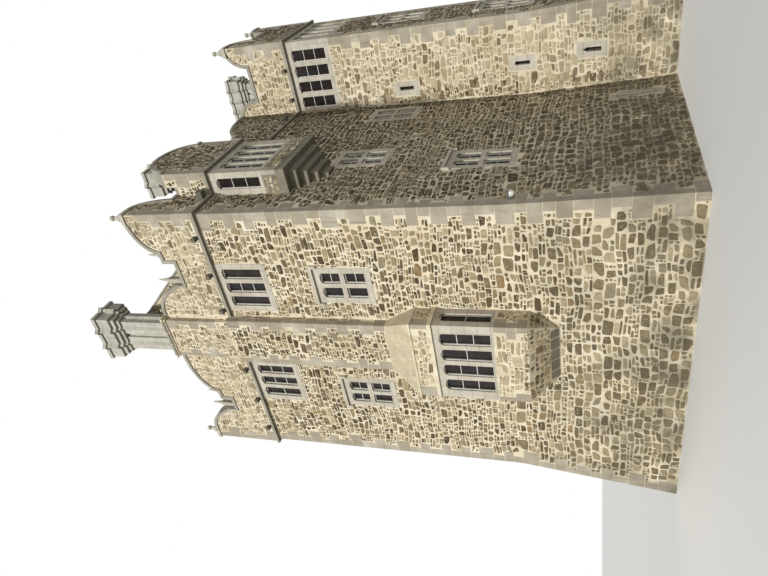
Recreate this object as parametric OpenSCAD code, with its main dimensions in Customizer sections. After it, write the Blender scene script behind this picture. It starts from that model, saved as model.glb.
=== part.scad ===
// Tower-house keep: a rubble main block with a closet turret, curved gabled parapets,
// star-plan chimneys and two oriel windows. Millimetres, +Z up.
// The origin is the centre of the main block at ground level, and the front faces -Y.

/* [Main block] */
// Width of the main block, west to east, above the battered foot
block_w = 9770; // [8100:10:11800]
// Depth of the main block, front to rear
block_d = 14600; // [14000:10:17600]
// Thickness of the main walls
wall_t = 1200; // [900:10:1450]
// Height of the battered foot of every outer wall
batter_h = 4800; // [3900:50:6000]
// Outward spread of the foot at the ground
batter_out = 340; // [100:10:450]

/* [Storeys] */
// Thickness of every floor
floor_t = 300; // [200:10:400]
// Ground to first floor
ground_h = 4000; // [3400:10:4800]
// First floor to second floor
first_h = 3900; // [3800:10:4700]
// Second floor to third floor
second_h = 3500; // [3200:10:4200]
// Third floor to the wall head
third_h = 2530; // [2300:10:3100]

/* [Turret] */
// Projection of the turret from the east wall
turret_w = 2765; // [2700:5:3400]
// Width of the turret along the east wall
turret_d = 3140; // [3000:5:3800]
// Distance from the front face back to the turret
turret_back = 8620; // [8300:10:9000]
// Thickness of the turret walls
turret_wall_t = 600; // [450:10:720]

/* [Wall head] */
// Height of the string course at the wall head
string_h = 150; // [100:10:240]
// Overhang of the string course beyond the wall
string_out = 120; // [60:5:180]
// Overhang of the parapet beyond the wall
parapet_out = 70; // [0:5:110]
// Thickness of the parapet
parapet_t = 350; // [250:10:450]
// Height of the low stretches of the parapet above the wall head
parapet_low = 1280; // [900:10:1500]
// Height of the curved merlons above the wall head
parapet_high = 2580; // [2100:10:3100]
// Thickness of the coping stones
coping_t = 120; // [60:5:140]
// Overhang of the coping stones
coping_out = 45; // [20:5:80]

/* [Roof] */
// Pitch of the main roof in degrees
roof_pitch = 47; // [38:1:52]
// Thickness of the roof slopes
roof_t = 220; // [150:10:300]
// Width of the walk between parapet and roof
walk_w = 600; // [500:10:750]
// Thickness of the two roof gables
gable_t = 450; // [350:10:600]
// Height of the gable copings above the roof
gable_up = 180; // [100:10:300]

/* [Chimneys] */
// Width of the chimney breast on the front wall
breast_w = 1760; // [1700:10:2150]
// Projection of the chimney breast
breast_out = 310; // [200:10:450]
// Distance from the east face to the breast
breast_from_east = 3820; // [3650:10:4200]
// Height of the breast above the wall head
breast_up = 2760; // [2600:10:3300]
// Distance between the star shafts of the front stack
star_pitch = 680; // [660:10:820]
// Height of the star shafts
shaft_h = 1890; // [1480:10:2200]
// Height of the stepped caps
cap_h = 950; // [800:10:1300]
// Width of one flue
flue_w = 280; // [150:10:300]

/* [Windows] */
// Clear width of one window light
light_w = 370; // [270:5:400]
// Width of a stone mullion or transom
mullion_w = 150; // [90:5:170]
// Width of the dressed stones beside an opening
surround_w = 190; // [120:5:230]
// Depth of the stone frames
frame_d = 300; // [240:10:400]
// Thickness of the glass
glass_t = 12; // [6:1:20]
// Distance of the front window bays from the corners
bay_from_corner = 2720; // [2550:10:2820]

/* [Oriels] */
// Projection of the front oriel
front_oriel_out = 820; // [680:10:1000]
// Width of the front oriel
front_oriel_w = 2750; // [2650:10:3350]
// Projection of the east oriel
east_oriel_out = 750; // [620:10:900]
// Distance from the front face back to the east oriel
east_oriel_s = 1250; // [1250:10:1500]
// Width of the east oriel
east_oriel_w = 2500; // [2300:10:3000]
// Thickness of the oriel walls
oriel_t = 220; // [150:10:270]

/* [Hidden] */

half_w = block_w / 2;
half_d = block_d / 2;
turret_x = half_w + turret_w;
turret_y0 = turret_back - half_d;
turret_y1 = turret_y0 + turret_d;

first_z = ground_h;
second_z = first_z + first_h;
third_z = second_z + second_h;
head_z = third_z + third_h;
deck_z = head_z + string_h;
low_z = head_z + parapet_low;
high_z = head_z + parapet_high;

// Depth of the parapet behind the wall's outer face
parapet_in = parapet_t - parapet_out;
// Longer than anything that is cut
reach = block_w + block_d;

stone = "#cfc6b2";
dressed = "#dbd6c8";
slate = "#5d646b";
timber = "#8a6d4c";
glazing = "#2b333b";

// A face of the building is [its left end seen from outside, the angle that turns a
// piece drawn for the front so that it faces that way, its width].
FRONT = [[-half_w, -half_d, 0], 0, block_w];
EAST = [[half_w, -half_d, 0], 90, block_d];
REAR = [[half_w, half_d, 0], 180, block_w];
WEST = [[-half_w, half_d, 0], 270, block_d];
TURRET_FRONT = [[half_w, turret_y0, 0], 0, turret_w];
TURRET_EAST = [[turret_x, turret_y0, 0], 90, turret_d];
TURRET_REAR = [[turret_x, turret_y1, 0], 180, turret_w];

// Puts a piece on a face, s along it from its left end and z up.
// There +X runs along the face, +Y runs into the wall and +Z is up.
module on_face(face, s, z) {
    translate(face[0]) rotate([0, 0, face[1]]) translate([s, 0, z]) children();
}

// Prism with an outline in X and Z, from y0 to y1
module xz_prism(outline, y0, y1) {
    translate([0, y1, 0]) rotate([90, 0, 0]) linear_extrude(height = y1 - y0) polygon(outline);
}

// Prism with an outline in Y and Z, from x0 to x1
module yz_prism(outline, x0, x1) {
    translate([x0, 0, 0]) rotate([90, 0, 90]) linear_extrude(height = x1 - x0) polygon(outline);
}

module box(low, high) {
    translate(low) cube(high - low);
}

// Masses of the two towers, with the battered foot

// Spread of the foot at a height
function batter_at(z) = z < batter_h ? batter_out * (1 - z / batter_h) : 0;

// Outline of a wall mass from a to b; foot_a and foot_b are its spreads at the ground
function battered(a, b, foot_a, foot_b) = [
    [a - foot_a, 0], [b + foot_b, 0], [b, batter_h], [b, head_z], [a, head_z], [a, batter_h]
];

module block_mass() {
    intersection() {
        xz_prism(battered(-half_w, half_w, batter_out, batter_out), -reach, reach);
        yz_prism(battered(-half_d, half_d, batter_out, batter_out), -reach, reach);
    }
}

module turret_mass() {
    intersection() {
        xz_prism(battered(half_w, turret_x, 0, batter_out), -reach, reach);
        yz_prism(battered(turret_y0, turret_y1, batter_out, batter_out), half_w, reach);
    }
}

// Windows
// A window is [s of the middle of its lights, sill z, lights, height, rows of lights].
light_pitch = light_w + mullion_w;
function window_w(lights) = lights * light_pitch - mullion_w;

top_sill = third_z + 940;
top_h = head_z - surround_w - top_sill;
mid_sill = second_z + 1010;
mid_h = 1450;
low_sill = first_z + 850;
low_h = 1650;

function window_column(s, top_lights) = [
    [s, top_sill, top_lights, top_h, 1],
    [s, mid_sill, 2, mid_h, 2],
    [s, low_sill, 2, low_h, 2]
];

// The top windows of the front stand nearer its chimney breast than the middle ones.
// A bay is the places of its top and its middle window.
front_left_bay = [bay_from_corner + 360, bay_from_corner + 100];
front_right_bay = [block_w - bay_from_corner + 45, block_w - bay_from_corner + 170];
front_list = [
    for (bay = [front_left_bay, front_right_bay], i = [0, 1]) window_column(bay[i], 3)[i]
];
front_mid_list = [for (v = front_list) if (v[1] == mid_sill) v];
east_bay_a = 3000;
east_bay_b = 7550;
east_bay_c = (turret_back + turret_d + block_d - wall_t) / 2;
east_list = concat(
    [[east_bay_a, low_sill, 2, low_h, 2], [east_bay_a + 560, mid_sill, 2, mid_h, 2],
        [east_bay_b, mid_sill, 2, mid_h, 2]],
    window_column(east_bay_c, 2)
);
west_bays = [wall_t + 1150, block_d / 2, block_d - wall_t - 1150];
west_list = [for (s = west_bays) each window_column(s, 3)];
rear_list = [for (s = [bay_from_corner, block_w - bay_from_corner]) each window_column(s, 3)];
turret_bay = turret_wall_t + (turret_d - 2 * turret_wall_t) * 0.62;
turret_list = [[turret_bay, mid_sill, 2, mid_h, 2], [turret_bay, low_sill, 2, low_h, 2]];

// A loop is [s of its left edge, sill z, width, height, has a pointed head].
east_loops = [[6900, 700, 140, 1200, false]];
west_loops = [[block_d - 6900, 700, 140, 1200, false]];
turret_loops = [
    [530, 9060, 140, 540, false], [1040, 4740, 130, 520, false], [1290, 2380, 140, 600, true]
];
loop_surround = 190;

// Outline of one light with a segmental head of a given rise
function light_outline(w, h, rise) =
    let (r = (w * w / 4 + rise * rise) / (2 * rise),
         half_angle = asin(w / 2 / r))
    concat(
        [[0, 0], [w, 0]],
        [for (i = [0 : 8]) let (a = half_angle * (1 - i / 4))
            [w / 2 + r * sin(a), h - r + r * cos(a)]]
    );

// Cutters for a group of lights that starts at the origin
module light_cuts(count, rows, w, bar, h, rise, depth) {
    row_h = (h - (rows - 1) * bar) / rows;
    for (i = [0 : count - 1], j = [0 : rows - 1])
        translate([i * (w + bar), 0, j * (row_h + bar)])
            if (j == rows - 1) xz_prism(light_outline(w, row_h, rise), -40, depth);
            else box([0, -40, 0], [w, depth, row_h]);
}

// Depth of the mullions; the glass lies behind them in the deeper frame
bar_d = 100;
frame_proud = 15;
head_rise = 60;

module stone_window(count, h, rows) {
    w = window_w(count);
    translate([-w / 2, 0, 0]) difference() {
        box([-surround_w, -frame_proud, -surround_w], [w + surround_w, frame_d, h + surround_w]);
        box([0, bar_d, 0], [w, frame_d + 1, h]);
        light_cuts(count, rows, light_w, mullion_w, h, head_rise, bar_d + 1);
    }
}

module stone_windows(face, list) {
    for (v = list)
        on_face(face, v[0], v[1]) stone_window(v[2], v[3], v[4]);
}

module window_glass(face, list) {
    for (v = list)
        on_face(face, v[0] - window_w(v[2]) / 2, v[1])
            box([0, bar_d, 0], [window_w(v[2]), bar_d + glass_t, v[3]]);
}

// The hole that a stone frame fills, carried on through the wall as its reveal
module window_cuts(face, list, depth) {
    for (v = list)
        on_face(face, v[0] - window_w(v[2]) / 2, v[1])
            box([-surround_w, -batter_out - 1, -surround_w],
                [window_w(v[2]) + surround_w, depth + 1, v[3] + surround_w]);
}

module loop_cuts(face, list, depth) {
    for (v = list)
        on_face(face, v[0], v[1])
            box([-loop_surround, -batter_out - 1, -loop_surround],
                [v[2] + loop_surround, depth + 1, v[3] + loop_surround]);
}

function loop_outline(w, h, pointed) = pointed
    ? [[0, 0], [w, 0], [w, h - w], [w / 2, h], [0, h - w]]
    : [[0, 0], [w, 0], [w, h], [0, h]];

// Frames of loops; children is the mass whose battered face they follow
module loop_frames(face, list) {
    intersection() {
        for (v = list)
            on_face(face, v[0], v[1]) difference() {
                box([-loop_surround, -batter_out - 1, -loop_surround],
                    [v[2] + loop_surround, frame_d, v[3] + loop_surround]);
                xz_prism(loop_outline(v[2], v[3], v[4]), -batter_out - 2, frame_d + 1);
            }
        children();
    }
}

module loop_glass(face, list) {
    for (v = list)
        on_face(face, v[0], v[1])
            xz_prism(loop_outline(v[2], v[3], v[4]), frame_d / 2, frame_d / 2 + glass_t);
}

module front_windows() {
    color(dressed) stone_windows(FRONT, front_list);
}

module east_windows() {
    color(dressed) {
        stone_windows(EAST, east_list);
        loop_frames(EAST, east_loops) block_mass();
    }
}

module west_windows() {
    color(dressed) {
        stone_windows(WEST, west_list);
        loop_frames(WEST, west_loops) block_mass();
    }
}

module rear_windows() {
    color(dressed) stone_windows(REAR, rear_list);
}

module turret_windows() {
    color(dressed) {
        stone_windows(TURRET_EAST, turret_list);
        loop_frames(TURRET_FRONT, turret_loops) turret_mass();
        turret_band_window();
    }
}

// Window band round the outer corner at the top of the turret
band_z = third_z + 730;
band_side = 110;
band_light_w = 430;
band_bar_w = 175;
band_lights = 4;
band_sill = 200;
band_head = 190;
band_w = band_lights * (band_light_w + band_bar_w) - band_bar_w;
band_light_h = head_z - band_head - band_z - band_sill;
// Places of the first lights from the left ends of the two turret faces
band_front_s = turret_w - frame_d - 30 - band_w;
band_east_s = frame_d + 60;
band_end_s = band_east_s + band_w + 240;

module turret_band(depth, out) {
    box([half_w + band_side, turret_y0 - out, band_z],
        [turret_x + out, turret_y0 + depth, head_z]);
    box([turret_x - depth, turret_y0 - out, band_z],
        [turret_x + out, turret_y0 + band_end_s, head_z]);
}

module turret_band_window() {
    difference() {
        turret_band(frame_d, 0);
        on_face(TURRET_FRONT, band_front_s, band_z + band_sill) band_opening();
        on_face(TURRET_EAST, band_east_s, band_z + band_sill) band_opening();
    }
}

module band_opening() {
    light_cuts(band_lights, 1, band_light_w, band_bar_w, band_light_h, head_rise, bar_d + 1);
    box([0, bar_d, 0], [band_w, frame_d + 1, band_light_h]);
}

module band_glass() {
    box([0, bar_d, 0], [band_w, bar_d + glass_t, band_light_h]);
}

// Drip moulds over windows, with a turned-down stop at each end
module hood_mould(count) {
    stop = 90;
    drop = 150;
    w = window_w(count) + 2 * surround_w + 2 * stop;
    translate([-w / 2, 0, 0]) {
        xz_prism([[0, -drop], [stop, -drop], [stop, 0], [w - stop, 0], [w - stop, -drop],
            [w, -drop], [w, 90], [0, 90]], -90, 0);
        xz_prism([[40, 90], [w - 40, 90], [w - stop, 130], [stop, 130]], -50, 0);
    }
}

module hood_moulds() {
    color(dressed) {
        for (v = front_mid_list) on_face(FRONT, v[0], hood_z(v)) hood_mould(v[2]);
        for (i = [0, 4, 5]) on_face(EAST, east_list[i][0], hood_z(east_list[i])) hood_mould(2);
        for (v = turret_list) on_face(TURRET_EAST, v[0], hood_z(v)) hood_mould(v[2]);
        for (v = west_list) if (v[1] != top_sill)
            on_face(WEST, v[0], hood_z(v)) hood_mould(v[2]);
        for (v = rear_list) if (v[1] != top_sill)
            on_face(REAR, v[0], hood_z(v)) hood_mould(v[2]);
    }
}

function hood_z(v) = v[1] + v[3] + surround_w;

module lower_glass() {
    color(glazing) {
        loop_glass(EAST, east_loops);
        loop_glass(WEST, west_loops);
        loop_glass(TURRET_FRONT, [turret_loops[1], turret_loops[2]]);
        window_glass(EAST, [for (v = east_list) if (v[1] == low_sill) v]);
        window_glass(WEST, [for (v = west_list) if (v[1] == low_sill) v]);
        window_glass(REAR, [for (v = rear_list) if (v[1] == low_sill) v]);
        window_glass(TURRET_EAST, [turret_list[1]]);
        front_oriel_glass();
    }
}

module second_glass() {
    color(glazing) {
        loop_glass(TURRET_FRONT, [turret_loops[0]]);
        window_glass(FRONT, front_mid_list);
        window_glass(EAST, [for (v = east_list) if (v[1] == mid_sill) v]);
        window_glass(WEST, [for (v = west_list) if (v[1] == mid_sill) v]);
        window_glass(REAR, [for (v = rear_list) if (v[1] == mid_sill) v]);
        window_glass(TURRET_EAST, [turret_list[0]]);
    }
}

module third_glass() {
    color(glazing) {
        window_glass(FRONT, [for (v = front_list) if (v[1] == top_sill) v]);
        window_glass(EAST, [for (v = east_list) if (v[1] == top_sill) v]);
        window_glass(WEST, [for (v = west_list) if (v[1] == top_sill) v]);
        window_glass(REAR, [for (v = rear_list) if (v[1] == top_sill) v]);
        on_face(TURRET_FRONT, band_front_s, band_z + band_sill) band_glass();
        on_face(TURRET_EAST, band_east_s, band_z + band_sill) band_glass();
        east_oriel_glass();
    }
}

// Floors
module room_floor(z) {
    x = half_w - wall_t;
    y = half_d - wall_t;
    box([-x, -y, z - floor_t], [x, y, z]);
}

module ground_floor() {
    color(stone) room_floor(floor_t);
}

module first_floor() {
    color(timber) room_floor(first_z);
}

module second_floor() {
    color(timber) room_floor(second_z);
}

module third_floor() {
    color(timber) room_floor(third_z);
}

// Stone deck over the top storey, inside the string course
module attic_floor() {
    x = half_w - parapet_in;
    y = half_d - parapet_in;
    color(stone) box([-x, -y, head_z], [x, y, deck_z]);
}

module turret_floors() {
    for (z = [floor_t, first_z, second_z, third_z])
        color(timber) box([half_w, turret_y0 + turret_wall_t, z - floor_t],
            [turret_x - turret_wall_t, turret_y1 - turret_wall_t, z]);
    color(stone) box([half_w + parapet_in, turret_y0 + parapet_in, head_z],
        [turret_x - parapet_in, turret_y1 - parapet_in, deck_z]);
}

// Walls
module front_wall() {
    color(stone) difference() {
        intersection() {
            block_mass();
            box([-reach, -reach, 0], [reach, -half_d + wall_t, head_z]);
        }
        window_cuts(FRONT, front_list, wall_t);
        on_face(FRONT, front_oriel_s, 0)
            box([oriel_t + oriel_reveal, -reach, front_oriel_floor],
                [front_oriel_w - oriel_t - oriel_reveal, wall_t + 1, front_oriel_head_z]);
    }
}

module rear_wall() {
    color(stone) difference() {
        intersection() {
            block_mass();
            box([-reach, half_d - wall_t, 0], [reach, reach, head_z]);
        }
        window_cuts(REAR, rear_list, wall_t);
    }
}

module west_wall() {
    color(stone) difference() {
        intersection() {
            block_mass();
            box([-reach, -half_d + wall_t, 0], [-half_w + wall_t, half_d - wall_t, head_z]);
        }
        window_cuts(WEST, west_list, wall_t);
        loop_cuts(WEST, west_loops, wall_t);
    }
}

module east_wall() {
    color(stone) difference() {
        intersection() {
            block_mass();
            box([half_w - wall_t, -half_d + wall_t, 0], [reach, half_d - wall_t, head_z]);
        }
        turret_mass();
        window_cuts(EAST, east_list, wall_t);
        loop_cuts(EAST, east_loops, wall_t);
        on_face(EAST, east_oriel_s, 0)
            box([oriel_t + oriel_reveal, -reach, east_oriel_floor],
                [east_oriel_w - oriel_t - oriel_reveal, wall_t + 1, head_z - 250]);
    }
}

module turret_front_wall() {
    color(stone) difference() {
        intersection() {
            turret_mass();
            box([half_w, -reach, 0], [reach, turret_y0 + turret_wall_t, head_z]);
        }
        turret_band(turret_wall_t, 1);
        loop_cuts(TURRET_FRONT, turret_loops, turret_wall_t);
    }
}

module turret_rear_wall() {
    color(stone) difference() {
        intersection() {
            turret_mass();
            box([half_w, turret_y1 - turret_wall_t, 0], [reach, reach, head_z]);
        }
        turret_band(frame_d, 1);
    }
}

module turret_east_wall() {
    color(stone) difference() {
        intersection() {
            turret_mass();
            box([turret_x - turret_wall_t, turret_y0 + turret_wall_t, 0],
                [reach, turret_y1 - turret_wall_t, head_z]);
        }
        turret_band(turret_wall_t, 1);
        window_cuts(TURRET_EAST, turret_list, turret_wall_t);
    }
}

// Wall head
// Plan of the wall head and of the east oriel's roof, grown outwards
module head_plan(out) {
    oriel_y0 = -half_d + east_oriel_s;
    oriel_y1 = oriel_y0 + east_oriel_w;
    oriel_x = half_w + east_oriel_out;
    polygon([
        [-half_w - out, -half_d - out], [half_w + out, -half_d - out],
        [half_w + out, oriel_y0 - out], [oriel_x + out, oriel_y0 - out],
        [oriel_x + out, oriel_y1 + out], [half_w + out, oriel_y1 + out],
        [half_w + out, turret_y0 - out], [turret_x + out, turret_y0 - out],
        [turret_x + out, turret_y1 + out], [half_w + out, turret_y1 + out],
        [half_w + out, half_d + out], [-half_w - out, half_d + out]
    ]);
}

module string_course() {
    color(dressed) difference() {
        translate([0, 0, head_z]) {
            linear_extrude(height = string_h) head_plan(parapet_out);
            linear_extrude(height = string_h * 0.6) head_plan(string_out);
        }
        box([-half_w + parapet_in, -half_d + parapet_in, head_z - 1],
            [half_w - parapet_in, half_d - parapet_in, deck_z + 1]);
        box([half_w + parapet_in, turret_y0 + parapet_in, head_z - 1],
            [turret_x - parapet_in, turret_y1 - parapet_in, deck_z + 1]);
        on_face(FRONT, breast_s, 0)
            box([0, -reach, head_z - 1], [breast_w, parapet_in + 1, deck_z + 1]);
    }
}

// Outlines of parapet stretches, in X along the wall and Z. Each runs from x = 0 to
// x = w, and grow lifts its top edge square to itself for the coping.
// High starts of the stretches within a wall and of those beside an outer corner
sag_flat = 100;
corner_flat = 450;
fall_r = 900;
fall_angle = 60;
fall_run = 1100;
step_s = 2240;
step_h = 440;
step_w = 350;
merlon_w = 550;
turret_merlon_w = 720;

// Falls from a flat start in an arc that runs out into a straight slope
function fall_points(flat, grow) =
    let (a1 = fall_angle, r = fall_r + grow, x1 = flat + fall_run + grow * tan(a1 / 2))
    concat(
        [[0, high_z + grow]],
        [for (i = [0 : 8]) let (a = i * a1 / 8)
            [flat + r * sin(a), high_z - fall_r + r * cos(a)]],
        [[x1, high_z - fall_r + r * cos(a1) - (x1 - flat - r * sin(a1)) * tan(a1)],
            [x1, low_z + grow]]
    );

// Quarter ellipses that rise to x1 or fall from x0, without their lowest points
function rise_points(x1, width, z, grow) = [
    for (i = [1 : 10]) let (a = i * 9)
        [x1 - (width + grow) * cos(a), z + (high_z - z + grow) * sin(a)]
];

function drop_points(x0, width, z, grow) = [
    for (i = [0 : 9]) let (a = 90 - i * 9)
        [x0 + (width + grow) * cos(a), z + (high_z - z + grow) * sin(a)]
];

// Falls from a high start, runs low, steps up and rises in a quarter ellipse to the end
function sag_outline(w, flat, grow) = concat(
    [[0, deck_z]],
    fall_points(flat, grow),
    [[step_s - grow, low_z + grow], [step_s - grow, low_z + step_h + grow],
        [step_s + step_w - grow, low_z + step_h + grow]],
    rise_points(w, w - step_s - step_w, low_z + step_h, grow),
    [[w, deck_z]]
);

// A quarter merlon, then low
function corner_outline(w, grow) = concat(
    [[0, deck_z]],
    drop_points(0, merlon_w, low_z, grow),
    [[merlon_w + grow, low_z + grow], [w, low_z + grow], [w, deck_z]]
);

// High for a flat start, then a quarter merlon, a low stretch and a wider quarter merlon;
// the low stretches of the turret are as high as the steps of the main block
function turret_outline(w, start, grow) = concat(
    [[0, deck_z], [0, high_z + grow]],
    drop_points(start, merlon_w, low_z + step_h, grow),
    [[start + merlon_w + grow, low_z + step_h + grow],
        [w - turret_merlon_w - grow, low_z + step_h + grow]],
    rise_points(w, turret_merlon_w, low_z + step_h, grow),
    [[w, deck_z]]
);

function flat_outline(w, grow) = [
    [0, deck_z], [0, low_z + grow], [w, low_z + grow], [w, deck_z]
];

// A stretch is [face, start, width, outline kind, flat start, coping cut at its ends].
function stretch_outline(v, grow) =
    v[3] == "sag" ? sag_outline(v[2], v[4], grow) :
    v[3] == "corner" ? corner_outline(v[2], grow) :
    v[3] == "turret" ? turret_outline(v[2], v[4], grow) :
    flat_outline(v[2], grow);

breast_s = block_w - breast_from_east - breast_w;
side_run = block_d - 2 * parapet_in;
side_stretch = floor(side_run / 3);
rear_run = block_w + 2 * parapet_out;
rear_stretch = floor(rear_run / 2);
stack_depth = walk_w - 40;
oriel_end_s = east_oriel_s + east_oriel_w;
behind_turret_s = turret_back + turret_d + parapet_out;
corner_w = parapet_in + parapet_out;

front_stretches = [
    [FRONT, -parapet_out, breast_s + parapet_out, "sag", corner_flat, [corner_w, 0]],
    [FRONT, breast_s + breast_w, breast_from_east + parapet_out, "sag", sag_flat, [0, corner_w]]
];
east_stretches = [
    [EAST, parapet_in, east_oriel_s - parapet_in, "corner", 0, [0, 0]],
    [EAST, oriel_end_s, turret_back - parapet_out - oriel_end_s, "sag", sag_flat,
        [0, coping_out]],
    [EAST, behind_turret_s, block_d - parapet_in - 20 - stack_depth - behind_turret_s, "flat", 0,
        [coping_out, 0]]
];
west_stretches = [
    for (i = [0 : 2])
        [WEST, parapet_in + i * side_stretch, i < 2 ? side_stretch : side_run - 2 * side_stretch,
            "sag", sag_flat, [0, 0]]
];
rear_stretches = [
    [REAR, -parapet_out, rear_stretch, "sag", corner_flat, [corner_w, 0]],
    [REAR, rear_stretch - parapet_out, rear_run - rear_stretch, "sag", sag_flat, [0, corner_w]]
];
turret_stretches = [
    [TURRET_FRONT, -parapet_in, turret_w + parapet_t, "turret", parapet_t, [0, corner_w]],
    [TURRET_EAST, parapet_in, turret_d - 2 * parapet_in, "turret", 0, [0, 0]],
    [TURRET_REAR, -parapet_out, turret_w + parapet_t, "turret", 0, [corner_w, 0]]
];

module stretch_walls(list) {
    for (v = list)
        on_face(v[0], v[1], 0) xz_prism(stretch_outline(v, 0), -parapet_out, parapet_in);
}

// Coping on a stretch: the strip between its outline and the grown outline
module stretch_copings(list) {
    for (v = list)
        on_face(v[0], v[1], 0) difference() {
            xz_prism(stretch_outline(v, coping_t), -parapet_out - coping_out, parapet_in);
            xz_prism(stretch_outline(v, 0), -reach, reach);
            box([-reach, -reach, 0], [reach, reach, low_z]);
            box([-reach, -reach, 0], [v[5][0], reach, reach]);
            box([v[2] - v[5][1], -reach, 0], [reach, reach, reach]);
        }
}

module front_parapet() {
    color(stone) stretch_walls(front_stretches);
}

module east_parapet() {
    color(stone) stretch_walls(east_stretches);
}

module west_parapet() {
    color(stone) stretch_walls(west_stretches);
}

module rear_parapet() {
    color(stone) stretch_walls(rear_stretches);
}

module turret_parapet() {
    color(stone) stretch_walls(turret_stretches);
}

module parapet_coping() {
    color(dressed) {
        stretch_copings(front_stretches);
        stretch_copings(east_stretches);
        stretch_copings(west_stretches);
        stretch_copings(rear_stretches);
        stretch_copings(turret_stretches);
        on_face(EAST, east_oriel_s, 0) oriel_gable_coping();
    }
}

// Finials
module ball_finial(scale_by) {
    rotate_extrude($fn = 32) polygon(scale_by * [
        [0, 0], [105, 0], [125, 50], [120, 110], [75, 210], [48, 270], [48, 300],
        [78, 330], [92, 385], [80, 430], [45, 465], [0, 475]
    ]);
}

// Slab on a parapet corner, with a block and a ball on it; drawn for a face's left end
module corner_finial() {
    half = 125;
    middle = parapet_in - parapet_t / 2;
    translate([0, 0, high_z]) {
        box([-parapet_out - coping_out, -parapet_out - coping_out, 0],
            [parapet_in, parapet_in, coping_t + 20]);
        box([middle - half, middle - half, coping_t + 20],
            [middle + half, middle + half, coping_t + 110]);
        translate([middle, middle, coping_t + 110]) ball_finial(1);
    }
}

spike_half = 80;

module spike(block_h) {
    box([-spike_half, -spike_half, 0], [spike_half, spike_half, block_h]);
    translate([0, 0, block_h]) cylinder(h = 420, r1 = 75, r2 = 12, $fn = 24);
}

// Spikes at the foot of a fall and on its step
module sag_spikes(v) {
    y = (parapet_in - parapet_out) / 2;
    foot = v[4] + fall_run + coping_t * tan(fall_angle / 2);
    on_face(v[0], v[1], 0) {
        translate([foot + spike_half + 10, y, low_z + coping_t]) spike(620);
        translate([step_s - coping_t + spike_half + 140, y, low_z + step_h + coping_t]) spike(170);
    }
}

module corner_spike(v) {
    on_face(v[0], v[1], low_z + coping_t)
        translate([merlon_w + coping_t + spike_half + 10, (parapet_in - parapet_out) / 2, 0])
            spike(130);
}

module finials() {
    color(dressed) {
        for (face = [FRONT, EAST, REAR, WEST, TURRET_EAST])
            on_face(face, 0, 0) corner_finial();
        on_face(TURRET_REAR, 0, 0) corner_finial();
        for (v = concat(front_stretches, [east_stretches[1]], west_stretches, rear_stretches))
            sag_spikes(v);
        corner_spike(east_stretches[0]);
        on_face(EAST, east_oriel_s + east_oriel_w / 2, gable_top + coping_t)
            translate([0, -east_oriel_out - parapet_out + oriel_gable_t / 2, 0]) ball_finial(0.6);
        on_face(FRONT, breast_s + breast_w + sag_flat / 2, high_z + coping_t)
            translate([0, parapet_t / 2 - parapet_out, 0]) ball_finial(0.6);
    }
}

// Stone spouts through the foot of the parapet
spout_w = 130;
spout_out = 190;

module spout_row(face, places) {
    for (s = places)
        on_face(face, s - spout_w / 2, deck_z)
            box([0, -parapet_out - spout_out, 0], [spout_w, -parapet_out, spout_w]);
}

module spouts() {
    color(dressed) {
        spout_row(FRONT, [for (i = [0 : 2]) 740 + i * 1450]);
        spout_row(FRONT, [for (i = [0 : 2]) block_w - 770 - i * 1380]);
        spout_row(TURRET_FRONT, [600, 1750]);
        spout_row(EAST, [block_d / 2 - 2600, block_d / 2 + 300]);
        spout_row(WEST, [for (i = [0 : 5]) block_d * (i + 0.5) / 6]);
        spout_row(REAR, [for (i = [0 : 5]) block_w * (i + 0.5) / 6]);
        on_face(EAST, 830, deck_z)
            box([0, -parapet_out - 260, 0], [230, -parapet_out, 210]);
    }
}

// Roof
roof_x = half_w - parapet_in - walk_w;
roof_y = half_d - parapet_in - walk_w;
ridge_z = deck_z + roof_x * tan(roof_pitch);

module roof_slopes() {
    rise = roof_t / cos(roof_pitch);
    color(slate) difference() {
        xz_prism([[-roof_x, deck_z], [roof_x, deck_z], [0, ridge_z]],
            -roof_y + gable_t, roof_y - gable_t);
        xz_prism([[-roof_x + rise, deck_z - 1], [roof_x - rise, deck_z - 1],
            [0, ridge_z - rise * tan(roof_pitch)]], -reach, reach);
        east_stack_box();
    }
}

module roof_gables() {
    outline = [[-roof_x - 60, deck_z], [roof_x + 60, deck_z], [roof_x + 60, deck_z + gable_up],
        [0, ridge_z + gable_up + 60 * tan(roof_pitch)], [-roof_x - 60, deck_z + gable_up]];
    color(stone) {
        xz_prism(outline, -roof_y, -roof_y + gable_t);
        xz_prism(outline, roof_y - gable_t, roof_y);
    }
}

// Chimneys
breast_top = head_z + breast_up;
// Above the wall head the breast is narrower by this much a side, and set back
breast_inset = 110;
breast_set = 60;
cornice_h = 150;
cornice_out = 90;
// The cornice returns along the sides of the breast as far as the parapet's coping
cornice_back = -parapet_out - coping_out;

module chimney_breast() {
    x0 = breast_inset;
    x1 = breast_w - breast_inset;
    front = breast_set - breast_out;
    color(stone) on_face(FRONT, breast_s, 0) {
        box([0, -breast_out, front_oriel_top], [breast_w, 0, deck_z]);
        box([0, -parapet_out, head_z],
            [breast_w, parapet_in, min(high_z + coping_t, breast_top)]);
        box([0, parapet_in - 1, deck_z], [breast_w, parapet_in + walk_w, breast_top]);
        box([x0, front, deck_z - 1], [x1, parapet_in, breast_top]);
        box([x0 - cornice_out / 2, front - cornice_out / 2, breast_top - cornice_h],
            [x1 + cornice_out / 2, cornice_back, breast_top - cornice_h / 2]);
        box([x0 - cornice_out, front - cornice_out, breast_top - cornice_h / 2],
            [x1 + cornice_out, cornice_back, breast_top]);
    }
}

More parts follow.
